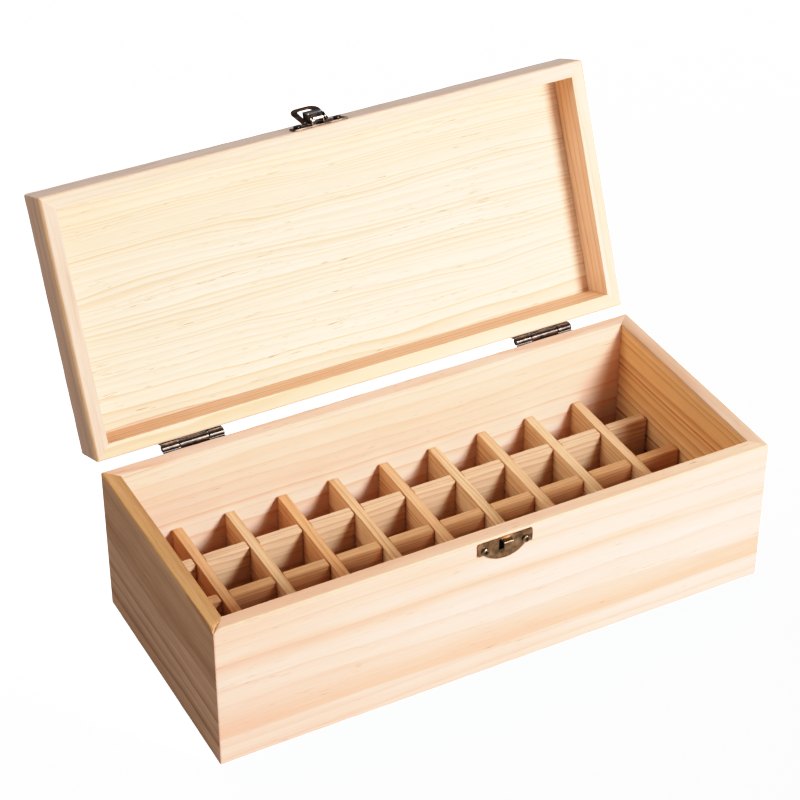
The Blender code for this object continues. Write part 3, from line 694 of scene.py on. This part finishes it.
def rounded(corners, steps=5):
    # An outline from (x, y, radius) corners
    points = []
    for i, (x, y, radius) in enumerate(corners):
        here = Vector((x, y))
        if not radius:
            points.append((x, y))
            continue
        back = (Vector(corners[i - 1][:2]) - here).normalized()
        ahead = (Vector(corners[(i + 1) % len(corners)][:2]) - here).normalized()
        halfAngle = back.angle(ahead) / 2
        reach = radius * cos(halfAngle) / sin(halfAngle)
        centre = here + (back + ahead).normalized() * radius / sin(halfAngle)
        first, last = here + back * reach - centre, here + ahead * reach - centre
        for step in range(steps + 1):
            points.append(tuple(centre + first.slerp(last, step / steps).normalized() * radius))
    return points


def stamped(outline, thickness, edge):
    # A flat outline made thick about its plane and eased along its edges. Millimetres.
    curve = bpy.data.curves.new("outline", "CURVE")
    curve.dimensions = "2D"
    curve.fill_mode = "BOTH"
    curve.extrude = thickness / 2 - edge
    curve.bevel_depth = edge
    curve.bevel_resolution = 1
    curve.offset = -edge
    area = sum(a[0] * b[1] - b[0] * a[1] for a, b in zip(outline, [*outline[1:], outline[0]]))
    if area < 0:
        outline = outline[::-1]
    spline = curve.splines.new("POLY")
    spline.points.add(len(outline) - 1)
    for point, (x, y) in zip(spline.points, outline):
        point.co = (x, y, 0, 1)
    spline.use_cyclic_u = True
    flat = evaluated(newObject("outline", curve))
    bpy.data.curves.remove(curve)
    bm = bmesh.new()
    bm.from_mesh(flat)
    bpy.data.meshes.remove(flat)
    bmesh.ops.remove_doubles(bm, verts=bm.verts, dist=0.001)
    return turnedOut(bm)


def evenPlaces(count, span):
    # Middles of the dividers, so that the pockets between walls are all alike
    whole = span + dividerSizes["thick"]
    return [whole / (count + 1) * (i + 1) - whole / 2 for i in range(count)]


def newTree(name, **inputs):
    # A node tree that takes the named inputs, and the sockets that carry them
    tree = bpy.data.node_groups.new(name, "GeometryNodeTree")
    for label, kind in inputs.items():
        tree.interface.new_socket(label, in_out="INPUT", socket_type=f"NodeSocket{kind}")
    tree.interface.new_socket("Geometry", in_out="OUTPUT", socket_type="NodeSocketGeometry")
    return tree, addNode(tree, "NodeGroupInput").outputs


def endTree(tree, copies, material):
    # Copies made real and given their material
    whole = addNode(tree, "GeometryNodeRealizeInstances", {"Geometry": copies})
    painted = addNode(tree, "GeometryNodeSetMaterial", {"Geometry": whole, "Material": material})
    addNode(tree, "NodeGroupOutput", {0: painted})


def dividerTree():
    # Copies a strip along a line, each nudged a little and given its own place in the stock
    inputs = dict(Strip="Geometry", Count="Int", Start="Vector", Pitch="Vector", Jitter="Vector", Seed="Int")
    tree, given = newTree("dividerRow", **inputs, Material="Material")
    links = {"Count": given["Count"], "Start Location": given["Start"], "Offset": given["Pitch"]}
    line = addNode(tree, "GeometryNodeMeshLine", links)
    low = addNode(tree, "ShaderNodeVectorMath", {0: given["Jitter"], "Scale": -1.0}, operation="SCALE")
    links = {0: low, 1: given["Jitter"], "Seed": given["Seed"]}
    nudge = addNode(tree, "FunctionNodeRandomValue", links, data_type="FLOAT_VECTOR")
    nudged = addNode(tree, "GeometryNodeSetPosition", {"Geometry": line, "Offset": nudge})
    copies = addNode(tree, "GeometryNodeInstanceOnPoints", {"Points": nudged, "Instance": given["Strip"]})
    links = {0: (0, 0, 0), 1: (1, 1, 1), "Seed": given["Seed"]}
    stock = addNode(tree, "FunctionNodeRandomValue", links, data_type="FLOAT_VECTOR")
    links = {"Geometry": copies, "Name": "stock", "Value": stock}
    settings = {"data_type": "FLOAT_VECTOR", "domain": "INSTANCE"}
    stored = addNode(tree, "GeometryNodeStoreNamedAttribute", links, **settings)
    endTree(tree, stored, given["Material"])
    return tree


def runNodes(mesh, tree, **values):
    # Evaluates a node tree on a mesh. Each input is set by its identifier before the first evaluation.
    guide = newObject("guide", mesh)
    step = guide.modifiers.new(tree.name, "NODES")
    step.node_group = tree
    for item in tree.interface.items_tree:
        if item.in_out == "INPUT" and item.name in values:
            step[item.identifier] = values[item.name]
    return evaluated(guide)


def stripMesh(name, outline, turn, *grainAxes):
    # One divider in the middle of the box, from its side view, with its axes along the grain, across it
    # and into the wood
    bm = stamped(rounded(outline), dividerSizes["thick"], dividerSizes["edge"])
    bm.transform(Matrix.Scale(mm, 4) @ turn)
    mesh = softShaded(meshFrom(bm, name))
    layer = mesh.attributes.new("grain", "FLOAT_VECTOR", "POINT")
    for vertex, item in zip(mesh.vertices, layer.data):
        item.vector = [vertex.co.dot(Vector(axis)) / mm for axis in grainAxes]
    return mesh


def buildDividers():
    sizes = dividerSizes
    innerLength = boxSizes["length"] - 2 * boxSizes["board"]
    innerDepth = boxSizes["depth"] - 2 * boxSizes["board"]
    crossPlaces = evenPlaces(sizes["crossCount"], innerLength)
    longPlaces = evenPlaces(sizes["longCount"], innerDepth)
    foot, top, endRound = sizes["foot"], sizes["top"], sizes["endRound"]
    slot = sizes["thick"] / 2 + sizes["lapGap"]
    lapLow, lapHigh = [(foot + top) / 2 + way * sizes["lapGap"] / 2 for way in (-1, 1)]
    across = Matrix(((0, 0, 1, 0), (1, 0, 0, 0), (0, 1, 0, 0), (0, 0, 0, 1)))
    upright = Matrix.Rotation(radians(90), 4, "X")

    # Cross strips are notched from below and lie over the long ones
    reach = innerDepth / 2 - sizes["wallGap"]
    outline = [(reach, foot, 0), (reach, top, endRound), (-reach, top, endRound), (-reach, foot, 0)]
    for y in longPlaces:
        outline += [(y - slot, foot, 0), (y - slot, lapHigh, 0), (y + slot, lapHigh, 0), (y + slot, foot, 0)]
    crossStrip = stripMesh("crossStrip", outline, across, (0, 1, 0), (0, 0, 1), (1, 0, 0))

    # Long strips are notched from above, and the right corner of each tooth is eased
    reach = innerLength / 2 - sizes["endGap"]
    outline = [(-reach, foot, 0), (reach, foot, 0), (reach, top, endRound)]
    for x in reversed(crossPlaces):
        outline += [(x + slot, top, 0), (x + slot, lapLow, 0)]
        outline += [(x - slot, lapLow, 0), (x - slot, top, sizes["toothRound"])]
    outline.append((-reach, top, endRound))
    longStrip = stripMesh("longStrip", outline, upright, (1, 0, 0), (0, 0, 1), (0, 1, 0))

    tree = dividerTree()
    rows = (
        ("cross", crossStrip, crossPlaces, (1, 0, 0), crossPine, sizes["crossSeed"]),
        ("long", longStrip, longPlaces, (0, 1, 0), longPine, sizes["longShadeSeed"]),
    )
    for kind, strip, places, way, material, seed in rows:
        way = Vector(way)
        mesh = runNodes(
            strip,
            tree,
            Count=len(places),
            Start=way * places[0] * mm,
            Pitch=way * (places[1] - places[0]) * mm,
            Jitter=way * sizes["jitter"] * mm,
            Seed=seed,
            Material=material,
        )
        nodes = [f"{kind}_divider_{i + 1}" for i in range(len(places))]
        finishPiece(f"{kind}Dividers", mesh, "box", nodes, material)


sawnPine = dict(pith=(20, -30), ringContrast=0.9, fibre=0.18, dashes=0.7)
crossLook = dict(pale="#EBC799", late="#B57E48", ring=2.2, stockToneAndShade="#EFC096", seed=41)
# The long strips' stock tone darkens the middle strip, which lies in the front wall's shadow: painted shade
longLook = dict(pale="#E4C29C", late="#B2865A", ring=1.9, stockToneAndShade="#F2DCC0", seed=43)
crossPine = pine("sawnPineCrossDivider", **sawnPine, **crossLook)
longPine = pine("sawnPineLongDivider", **sawnPine, **longLook)
buildDividers()
print("dividers made")


# Bronze fittings

bronzeLook = {
    "dark": "#2A1E15",
    "base": "#473728",
    "rubbed": "#645040",
    "hollow": "#120E0B",  # painted shade: black in recesses, under screw heads and on top of the keeper's hook
    "roughness": 0.31,
    "roughnessSpread": (-0.03, 0.05),
    "lacquer": 1.0,
    "lacquerRoughness": 0.26,
    "patch": 4.0,
    "patchLimits": (0.36, 0.52, 0.68),  # values of its noise that give the three tones
    "pinHole": 0.25,
    "relief": 0.03,
}


def antiqueBronze(name, **changes):
    # Antique bronze plate on pressed steel, tumbled and lacquered: brown metal, darker in patches,
    # with fine pin holes that soften its gloss
    look = {**bronzeLook, **changes}
    material, tree = newMaterial(name)
    place = addNode(tree, "ShaderNodeTexCoord").outputs["Object"]
    links = {"Vector": place, "Scale": 1 / (look["patch"] * mm), "Detail": 4.0}
    cloud = addNode(tree, "ShaderNodeTexNoise", links)
    links = {"Vector": place, "Scale": 1 / (look["pinHole"] * mm), "Detail": 2.0}
    speck = addNode(tree, "ShaderNodeTexNoise", links)
    patches = zip(look["patchLimits"], ("dark", "base", "rubbed"))
    tones = [(amount, hexColour(look[tone])) for amount, tone in patches]
    tone = addNode(tree, "ShaderNodeValToRGB", {0: cloud}, stops=tones)
    # Painted shade wherever the hollow attribute is set
    hollow = addNode(tree, "ShaderNodeAttribute", attribute_name="hollow").outputs["Fac"]
    links = {0: hollow, 6: tone, 7: hexColour(look["hollow"])}
    tone = addNode(tree, "ShaderNodeMix", links, data_type="RGBA")
    low, high = [look["roughness"] + change for change in look["roughnessSpread"]]
    rough = addNode(tree, "ShaderNodeMapRange", {0: speck, 1: 0.3, 2: 0.7, 3: low, 4: high})
    links = {"Strength": 0.02, "Distance": look["relief"] * mm, "Height": speck}
    bump = addNode(tree, "ShaderNodeBump", links)
    links = {
        "Base Color": tone,
        "Metallic": 1.0,
        "Roughness": rough,
        "Normal": bump,
        "Coat Weight": look["lacquer"],
        "Coat Roughness": look["lacquerRoughness"],
    }
    shader = addNode(tree, "ShaderNodeBsdfPrincipled", links)
    addNode(tree, "ShaderNodeOutputMaterial", {"Surface": shader})
    return material


hingeBronze = antiqueBronze("antiqueBronzeHinge")
plateBronze = antiqueBronze("antiqueBronzePlate", roughness=0.4, lacquer=0.1)
leverBronze = antiqueBronze(
    "antiqueBronzeLever", dark="#54463A", base="#7E6E60", rubbed="#A08F80", roughness=0.3
)
bailBronze = antiqueBronze(
    "antiqueBronzeBail", dark="#604632", base="#80604A", rubbed="#9C7C62", roughness=0.42, lacquer=0.0
)
keeperBronze = antiqueBronze(
    "antiqueBronzeKeeper",
    dark="#6C563C",
    base="#967652",
    rubbed="#B09270",
    roughness=0.38,
    lacquer=0.25,
    patch=5.0,
)
brightScrewBronze = antiqueBronze(
    "antiqueBronzeScrew", dark="#66503A", base="#8E7250", rubbed="#B89C78", roughness=0.26
)
darkScrewBronze = antiqueBronze("blackenedBronzeScrew", base="#443628", rubbed="#665240", roughness=0.24)
# Near black, for the sheet that paints shade in the keeper's window
windowShadeSheetBronze = antiqueBronze(
    "paintedShadeKeeperWindow", dark="#0E0B09", base="#17120E", rubbed="#241C16", roughness=0.6, lacquer=0.0
)


fittingSizes = {
    "edge": 0.14,
    "leafEdge": 0.26,
    "knuckleEnds": (-7.6, -7.3, 8.3, 8.6),  # along the barrel, where one knuckle meets the next
    "knuckleGap": 0.16,  # cut off each of those ends
    "notch": 2.1,  # the leaf's edge beside the other leaf's knuckle, from the barrel's axis
    "closeNotch": 1.2,
    "notchStart": -1.4,
    "near": 0.03,  # how close to such a place a point counts as on it
    "hingeX": 100.0,
    # Painted shade darkens the top of the keeper's hook: in front of one place, above the other
    "hookFront": -67.3,
    "hookTop": 80.3,
    "hookShade": 0.4,
    "leverPivot": (0, -138.8, 6.6),  # from the hinge axis, lid closed
    "leverWeb": ((-3.72, -2.0, 4.9), (3.72, 2.3, 5.5)),  # fold that closes the channel, from the pivot
    "leverCurl": {"half": 2.7, "inner": 1.9, "outer": 2.5, "start": -8, "end": 100, "steps": 12},
    "bailPivot": (0, 1.4, 3.0),
    "bail": {"far": 15, "wide": 16, "narrow": 14.6, "inside": 8.8, "bar": 2.2, "tail": 1.2, "thick": 1},
    "bailRounds": {"outer": 4.6, "inner": 2.8, "foot": 1.1, "innerFoot": 0.6, "edge": 0.25},
    "bailTilt": 20.0,
    "trunnion": {"radius": 0.45, "start": 3.7, "end": 4.7},
    "windowShadeSheetEdge": 0.02,
    "windowShadeSheet": ((-3.9, -66.62, 74.2), (3.9, -66.52, 80.6)),  # dark sheet behind the keeper's window, painted shade in its hole
}


def easedMesh(bm, name, edge=fittingSizes["edge"]):
    # Pressed edges eased
    bmesh.ops.remove_doubles(bm, verts=bm.verts, dist=0.002 * mm)
    bmesh.ops.dissolve_limit(bm, angle_limit=radians(1), verts=bm.verts, edges=bm.edges)
    guide = newObject("guide", meshFrom(bm, name))
    ease = guide.modifiers.new("ease", "BEVEL")
    ease.width = edge * mm
    ease.segments = 2
    ease.limit_method = "ANGLE"
    ease.angle_limit = radians(35)
    ease.use_clamp_overlap = True
    return softShaded(evaluated(guide), 40)


def copyOf(node):
    bm = bmesh.new()
    bm.from_mesh(frame["nodes"][node].data)
    return bm


def openKnuckles(bm, centre, place):
    # The ends of rolled knuckles are rounded, so a dark gap shows between them, and each leaf is
    # cropped close beside the other leaf's knuckle. place turns the leaf's own axes to the world.
    sizes = fittingSizes
    bm.transform(place.inverted())
    for vertex in bm.verts:
        along = vertex.co.x / mm - centre
        for i, end in enumerate(sizes["knuckleEnds"]):
            if abs(along - end) < sizes["near"]:
                vertex.co.x += sizes["knuckleGap"] * mm * (-1 if i % 2 == 0 else 1)
        beside = abs(abs(vertex.co.z) / mm - sizes["notch"]) < sizes["near"]
        if beside and vertex.co.y < sizes["notchStart"] * mm:
            vertex.co.z *= sizes["closeNotch"] / sizes["notch"]
    bm.transform(place)


def addSlab(bm, low, high, place):
    # A plain plate between two corners in millimetres
    slab = bmesh.ops.create_cube(bm, size=1)["verts"]
    low, high = Vector(low), Vector(high)
    for vertex in slab:
        vertex.co = low + (high - low) * (vertex.co + Vector((0.5, 0.5, 0.5)))
    bmesh.ops.transform(bm, matrix=place @ Matrix.Scale(mm, 4), verts=slab)


def addCurl(bm, place):
    # The tongue of the lever's sheet that curls round the pin between the lugs
    curl = fittingSizes["leverCurl"]
    rows = []
    for i in range(curl["steps"] + 1):
        angle = radians(curl["start"] + (curl["end"] - curl["start"]) * i / curl["steps"])
        row = []
        for x, radius in ((-1, "inner"), (1, "inner"), (1, "outer"), (-1, "outer")):
            point = Vector((x * curl["half"], -curl[radius] * cos(angle), -curl[radius] * sin(angle)))
            row.append(bm.verts.new(place @ (point * mm)))
        rows.append(row)
    for first, second in zip(rows, rows[1:]):
        for i in range(4):
            j = (i + 1) % 4
            bm.faces.new((first[i], first[j], second[j], second[i]))
    bm.faces.new(rows[0][::-1])
    bm.faces.new(rows[-1])


for side, centre in (("left", -fittingSizes["hingeX"]), ("right", fittingSizes["hingeX"])):
    for carrier in ("box", "lid"):
        node = f"hinge_{side}_{carrier}_leaf"
        name = f"hinge{side.title()}{carrier.title()}Leaf"
        bm = copyOf(node)
        openKnuckles(bm, centre, lidTurn if carrier == "lid" else Matrix.Translation(hingeAxis))
        mesh = easedMesh(bm, name, fittingSizes["leafEdge"])
        finishPiece(name, mesh, carrier, [node], hingeBronze)
    node, name = f"hinge_{side}_pin", f"hinge{side.title()}Pin"
    finishPiece(name, easedMesh(copyOf(node), name), "box", [node], hingeBronze)

mesh = easedMesh(copyOf("keeper_plate"), "keeperPlate")
# Painted shade on the top of the keeper's hook
layer = mesh.attributes.new("hollow", "FLOAT", "POINT")
for vertex, item in zip(mesh.vertices, layer.data):
    if vertex.co.y < fittingSizes["hookFront"] * mm and vertex.co.z > fittingSizes["hookTop"] * mm:
        item.value = fittingSizes["hookShade"]
finishPiece("keeperPlate", mesh, "box", ["keeper_plate"], keeperBronze)

fittings = {
    "latchBasePlate": ("latch_base_plate", "lid", plateBronze),
    "latchPin": ("latch_pin", "lid", leverBronze),
}
for name, (node, body, material) in fittings.items():
    finishPiece(name, easedMesh(copyOf(node), name), body, [node], material)

# A dark sheet behind the keeper's window paints the shade in its hole
bm = bmesh.new()
addSlab(bm, *fittingSizes["windowShadeSheet"], Matrix())
mesh = easedMesh(bm, "keeperLiner", fittingSizes["windowShadeSheetEdge"])
finishPiece("keeperLiner", mesh, "box", [], windowShadeSheetBronze)

leverPlace = lidTurn @ Matrix.Translation(Vector(fittingSizes["leverPivot"]) * mm)
bm = copyOf("latch_lever")
addSlab(bm, *fittingSizes["leverWeb"], leverPlace)
addCurl(bm, leverPlace)
mesh = easedMesh(bm, "latchLever")
finishPiece("latchLever", mesh, "latch_lever", ["latch_lever"], leverBronze)


def buildBail():
    # A stamped loop with wide round corners and legs that draw in a little, on two short trunnions
    # that turn in the lever's sides
    sizes, rounds, trunnion = fittingSizes["bail"], fittingSizes["bailRounds"], fittingSizes["trunnion"]
    half, tailHalf, inner = sizes["wide"] / 2, sizes["narrow"] / 2, sizes["inside"] / 2
    far, tail, bar = sizes["far"], -sizes["tail"], sizes["far"] - sizes["bar"]
    outer, hollow, foot, innerFoot = [rounds[name] for name in ("outer", "inner", "foot", "innerFoot")]
    outline = [(tailHalf, tail, foot), (half, far, outer), (-half, far, outer), (-tailHalf, tail, foot)]
    outline += [(-inner, tail, innerFoot), (-inner, bar, hollow)]
    outline += [(inner, bar, hollow), (inner, tail, innerFoot)]
    bm = stamped(rounded(outline, 7), sizes["thick"], rounds["edge"])
    radius, reach = trunnion["radius"], trunnion["end"] - trunnion["start"]
    for way in (-1, 1):
        place = Matrix.Translation((way * (trunnion["start"] + trunnion["end"]) / 2, 0, 0))
        place @= Matrix.Rotation(radians(90), 4, "Y")
        bmesh.ops.create_cone(
            bm, cap_ends=True, segments=20, radius1=radius, radius2=radius, depth=reach, matrix=place
        )
    tilt = Matrix.Rotation(radians(fittingSizes["bailTilt"]), 4, "X")
    upright = Matrix.Rotation(radians(90), 4, "X")
    pivot = Matrix.Translation(Vector(fittingSizes["bailPivot"]) * mm)
    bm.transform(leverPlace @ pivot @ tilt @ Matrix.Scale(mm, 4) @ upright)
    mesh = softShaded(meshFrom(bm, "latchBail"), 40)
    finishPiece("latchBail", mesh, "latch_bail", ["latch_bail"], bailBronze)


buildBail()
print("fittings made")


# Round-head screws in three rows, for the keeper, the box's hinge leaves and the lid

screwSizes = {
    "head": 2.1,
    "height": 1.1,
    "shank": 0.8,
    "length": 6.0,
    "tip": 1.4,
    "slotWide": 0.8,
    "slotLong": 3.0,
    "slotDeep": 0.8,
    "slotTaper": 0.45,  # width at the recess's foot, as a share of its mouth
    "seed": 9,
}


def screwHead():
    # A turned head and shank with a cross recess. Its seat is at z = 0 and it looks up.
    sizes = screwSizes
    head, high = sizes["head"], sizes["height"]
    # Nearly flat on top, rounded off over the last quarter of the radius, and drawn in below
    profile = [(0, high), (0.3 * head, 0.995 * high), (0.55 * head, 0.97 * high)]
    for angle in range(0, 91, 15):
        out, up = sin(radians(angle)), cos(radians(angle))
        profile.append((head * (0.74 + 0.26 * out), high * (0.3 + 0.63 * up)))
    shank, point = sizes["shank"], -sizes["length"]
    profile += [(0.86 * head, 0.0), (shank, 0), (shank, point + sizes["tip"]), (0, point)]
    bm = bmesh.new()
    points = [bm.verts.new((radius, 0, height)) for radius, height in profile]
    for a, b in zip(points, points[1:]):
        bm.edges.new((a, b))
    whole = bm.verts[:] + bm.edges[:]
    bmesh.ops.spin(bm, geom=whole, angle=2 * pi, steps=28, axis=(0, 0, 1), cent=(0, 0, 0), use_merge=False)
    bmesh.ops.remove_doubles(bm, verts=bm.verts, dist=0.001)
    guide = newObject("guide", meshFrom(turnedOut(bm), "screw"))
    cross = []
    for turn in (0, 90):
        tool = bmesh.new()
        bmesh.ops.create_cube(tool, size=1)
        for vertex in tool.verts:
            narrow = sizes["slotTaper"] if vertex.co.z < 0 else 1
            vertex.co.x *= sizes["slotLong"] * narrow
            vertex.co.y *= sizes["slotWide"] * narrow
            vertex.co.z = vertex.co.z * 2 * sizes["slotDeep"] + sizes["height"]
        tool.transform(Matrix.Rotation(radians(turn), 4, "Z"))
        arm = newObject("guide", meshFrom(tool, "recess"))
        arm.hide_render = True
        cut = guide.modifiers.new("recess", "BOOLEAN")
        cut.operation, cut.solver, cut.object = "DIFFERENCE", "EXACT", arm
        cross.append(arm)
    mesh = evaluated(guide)
    for arm in cross:
        bpy.data.objects.remove(arm)
    # Painted shade: black in the recess and under the head
    layer = mesh.attributes.new("hollow", "FLOAT", "POINT")
    for vertex, item in zip(mesh.vertices, layer.data):
        recessed = vertex.co.xy.length < 0.8 * head and vertex.co.z < 0.8 * high
        item.value = 1.0 if recessed or vertex.co.z < 0.05 * high else 0.0
    mesh.transform(Matrix.Scale(mm, 4))
    return softShaded(mesh, 40)


def screwTree():
    # Sets a screw on each point, facing its own way and turned at random
    tree, given = newTree("screwRow", Places="Geometry", Screw="Object", Seed="Int", Material="Material")
    screw = addNode(tree, "GeometryNodeObjectInfo", {"Object": given["Screw"]})
    facing = addNode(tree, "GeometryNodeInputNamedAttribute", {"Name": "facing"}, data_type="FLOAT_VECTOR")
    aimed = addNode(tree, "FunctionNodeAlignRotationToVector", {"Vector": facing}, axis="Z")
    links = {2: 0.0, 3: 6.28, "Seed": given["Seed"]}
    spin = addNode(tree, "FunctionNodeRandomValue", links, data_type="FLOAT")
    about = addNode(tree, "FunctionNodeAxisAngleToRotation", {"Axis": (0, 0, 1), "Angle": spin})
    links = {"Rotation": aimed, "Rotate By": about}
    turned = addNode(tree, "FunctionNodeRotateRotation", links, rotation_space="LOCAL")
    links = {"Points": given["Places"], "Instance": screw.outputs["Geometry"], "Rotation": turned}
    endTree(tree, addNode(tree, "GeometryNodeInstanceOnPoints", links), given["Material"])
    return tree


def screwSeat(node, facing):
    # Where the underside of a screw's head is, counted from the point of its node
    points = [vertex.co for vertex in frame["nodes"][node].data.vertices]
    return min(points, key=facing.dot) + facing * screwSizes["length"] * mm


boxFront = Vector((0, -1, 0))
lidFront = (lidTurn.to_3x3() @ Vector((0, -1, 0))).normalized()
bothSides = ("left", "right")
keeperScrews = [(f"keeper_screw_{side}", boxFront) for side in bothSides]
boxScrews = [(f"hinge_{side}_box_screw_{i}", -boxFront) for side in bothSides for i in (1, 2)]
lidScrews = [(f"latch_screw_{side}", lidFront) for side in bothSides]
lidScrews += [(f"hinge_{side}_lid_screw_{i}", -lidFront) for side in bothSides for i in (1, 2)]
screwRows = {
    "keeperScrews": ("box", brightScrewBronze, keeperScrews),
    "boxScrews": ("box", darkScrewBronze, boxScrews),
    "lidScrews": ("lid", darkScrewBronze, lidScrews),
}

headObject = newObject("guide", screwHead())
headTree = screwTree()
for name, (body, material, screws) in screwRows.items():
    rowMesh = bpy.data.meshes.new(name)
    rowMesh.from_pydata([screwSeat(node, facing) for node, facing in screws], [], [])
    layer = rowMesh.attributes.new("facing", "FLOAT_VECTOR", "POINT")
    for item, (node, facing) in zip(layer.data, screws):
        item.vector = facing
    mesh = runNodes(rowMesh, headTree, Screw=headObject, Seed=screwSizes["seed"], Material=material)
    finishPiece(name, mesh, body, [node for node, facing in screws], material)
bpy.data.objects.remove(headObject)
print("screws made")


# Floor, light and camera, in metres and watts, with the lens in millimetres

studio = {
    "keyPlace": (0.44, -0.92, 0.68),
    "keySize": 0.3,
    "keyPower": 23.4,
    "keyColour": "#F6F7FF",
    "fillPlace": (0.25, -2.5, 0.25),
    "fillSize": 1.0,
    "fillPower": 27,
    "fillColour": "#FFFFFF",
    "sidePlace": (-1.75, 0.3, 1.25),
    "sideSize": 1.0,
    "sidePower": 21,
    "sideColour": "#F8F8FF",
    "backPlace": (0.8, 2.2, 0.9),
    "backSize": 1.2,
    "backPower": 32,
    "backColour": "#EEF2FF",
    "ambient": 0.13,
    "mirrored": 0.22,  # brightness of the air as the metal mirrors it
    "mirroredLights": ("key", "fill"),
    "lightTarget": (0, 0, 0.06),
    "floorSize": 12,
    "floorPaper": (0.8, 0.8, 0.8, 1),
    "floorBounce": 0.24,
    "floorMirrored": 0.4,
    "floorGlow": 1.4,
    "camera": (-0.46267, -0.83983, 0.80367),
    "target": (-0.01621, 0.00853, 0.11745),
    "focal": 110.47,
    "filmWhite": 2.0,  # scene brightness that prints as white
    "filmCurve": [
        *[(0.02, 0.028), (0.05, 0.083), (0.1, 0.19), (0.175, 0.35)],
        *[(0.25, 0.49), (0.5, 0.86), (0.75, 0.985)],
    ],
}


def buildStudio():
    # White where the camera looks straight at floor and air, and only a weak bounce for the light
    bm = bmesh.new()
    bmesh.ops.create_grid(bm, x_segments=1, y_segments=1, size=studio["floorSize"])
    floor = newObject("floor", meshFrom(bm, "floor"))
    material, tree = newMaterial("matteWhitePaper")
    rays = addNode(tree, "ShaderNodeLightPath")
    paper = addNode(tree, "ShaderNodeBsdfDiffuse", {"Color": studio["floorPaper"]})
    glow = addNode(tree, "ShaderNodeEmission", {"Strength": studio["floorGlow"]})
    seen = addNode(tree, "ShaderNodeAddShader", {0: paper, 1: glow})
    links = {0: rays.outputs["Is Glossy Ray"], 2: studio["floorBounce"], 3: studio["floorMirrored"]}
    grey = addNode(tree, "ShaderNodeMix", links)
    bounce = addNode(tree, "ShaderNodeBsdfDiffuse", {"Color": grey})
    mixed = addNode(tree, "ShaderNodeMixShader", {0: rays.outputs["Is Camera Ray"], 1: bounce, 2: seen})
    addNode(tree, "ShaderNodeOutputMaterial", {"Surface": mixed})
    floor.data.materials.append(material)

    world = bpy.data.worlds.new("studioAir")
    world.use_nodes = True
    tree = world.node_tree
    tree.nodes.clear()
    rays = addNode(tree, "ShaderNodeLightPath")
    strength = studio["ambient"]
    for ray, level in (("Is Camera Ray", studio["filmWhite"]), ("Is Glossy Ray", studio["mirrored"])):
        links = {0: rays.outputs[ray], 1: level - studio["ambient"], 2: strength}
        strength = addNode(tree, "ShaderNodeMath", links, operation="MULTIPLY_ADD")
    air = addNode(tree, "ShaderNodeBackground", {"Color": (1, 1, 1, 1), "Strength": strength})
    addNode(tree, "ShaderNodeOutputWorld", {"Surface": air})
    bpy.context.scene.world = world


def aimAt(item, place, target):
    # A light or a camera put in its place and turned to what it looks at
    item.location = place
    away = item.location - Vector(target)
    item.rotation_euler = away.to_track_quat("Z", "Y").to_euler()


def addLight(name):
    # A square softbox that looks at the middle of the box
    data = bpy.data.lights.new(f"{name}Softbox", "AREA")
    data.shape, data.size, data.energy = "SQUARE", studio[f"{name}Size"], studio[f"{name}Power"]
    data.color = hexColour(studio[f"{name}Colour"])[:3]
    light = newObject(f"{name}Softbox", data)
    light.visible_glossy = name in studio["mirroredLights"]
    aimAt(light, studio[f"{name}Place"], studio["lightTarget"])


buildStudio()
for name in ("key", "fill", "side", "back"):
    addLight(name)

cameraData = bpy.data.cameras.new("camera")
cameraData.lens, cameraData.sensor_width = studio["focal"], 36
camera = newObject("camera", cameraData)
aimAt(camera, studio["camera"], studio["target"])
bpy.context.scene.camera = camera

# Highlights roll off as on film, so that lit pine stays cream and doesn't turn yellow
film = bpy.context.scene.view_settings
film.view_transform = "Standard"
film.use_curve_mapping = True
film.curve_mapping.white_level = [studio["filmWhite"]] * 3
rollOff = film.curve_mapping.curves[3].points
for place, tone in studio["filmCurve"]:
    rollOff.new(place, tone)
film.curve_mapping.update()
print("studio made")
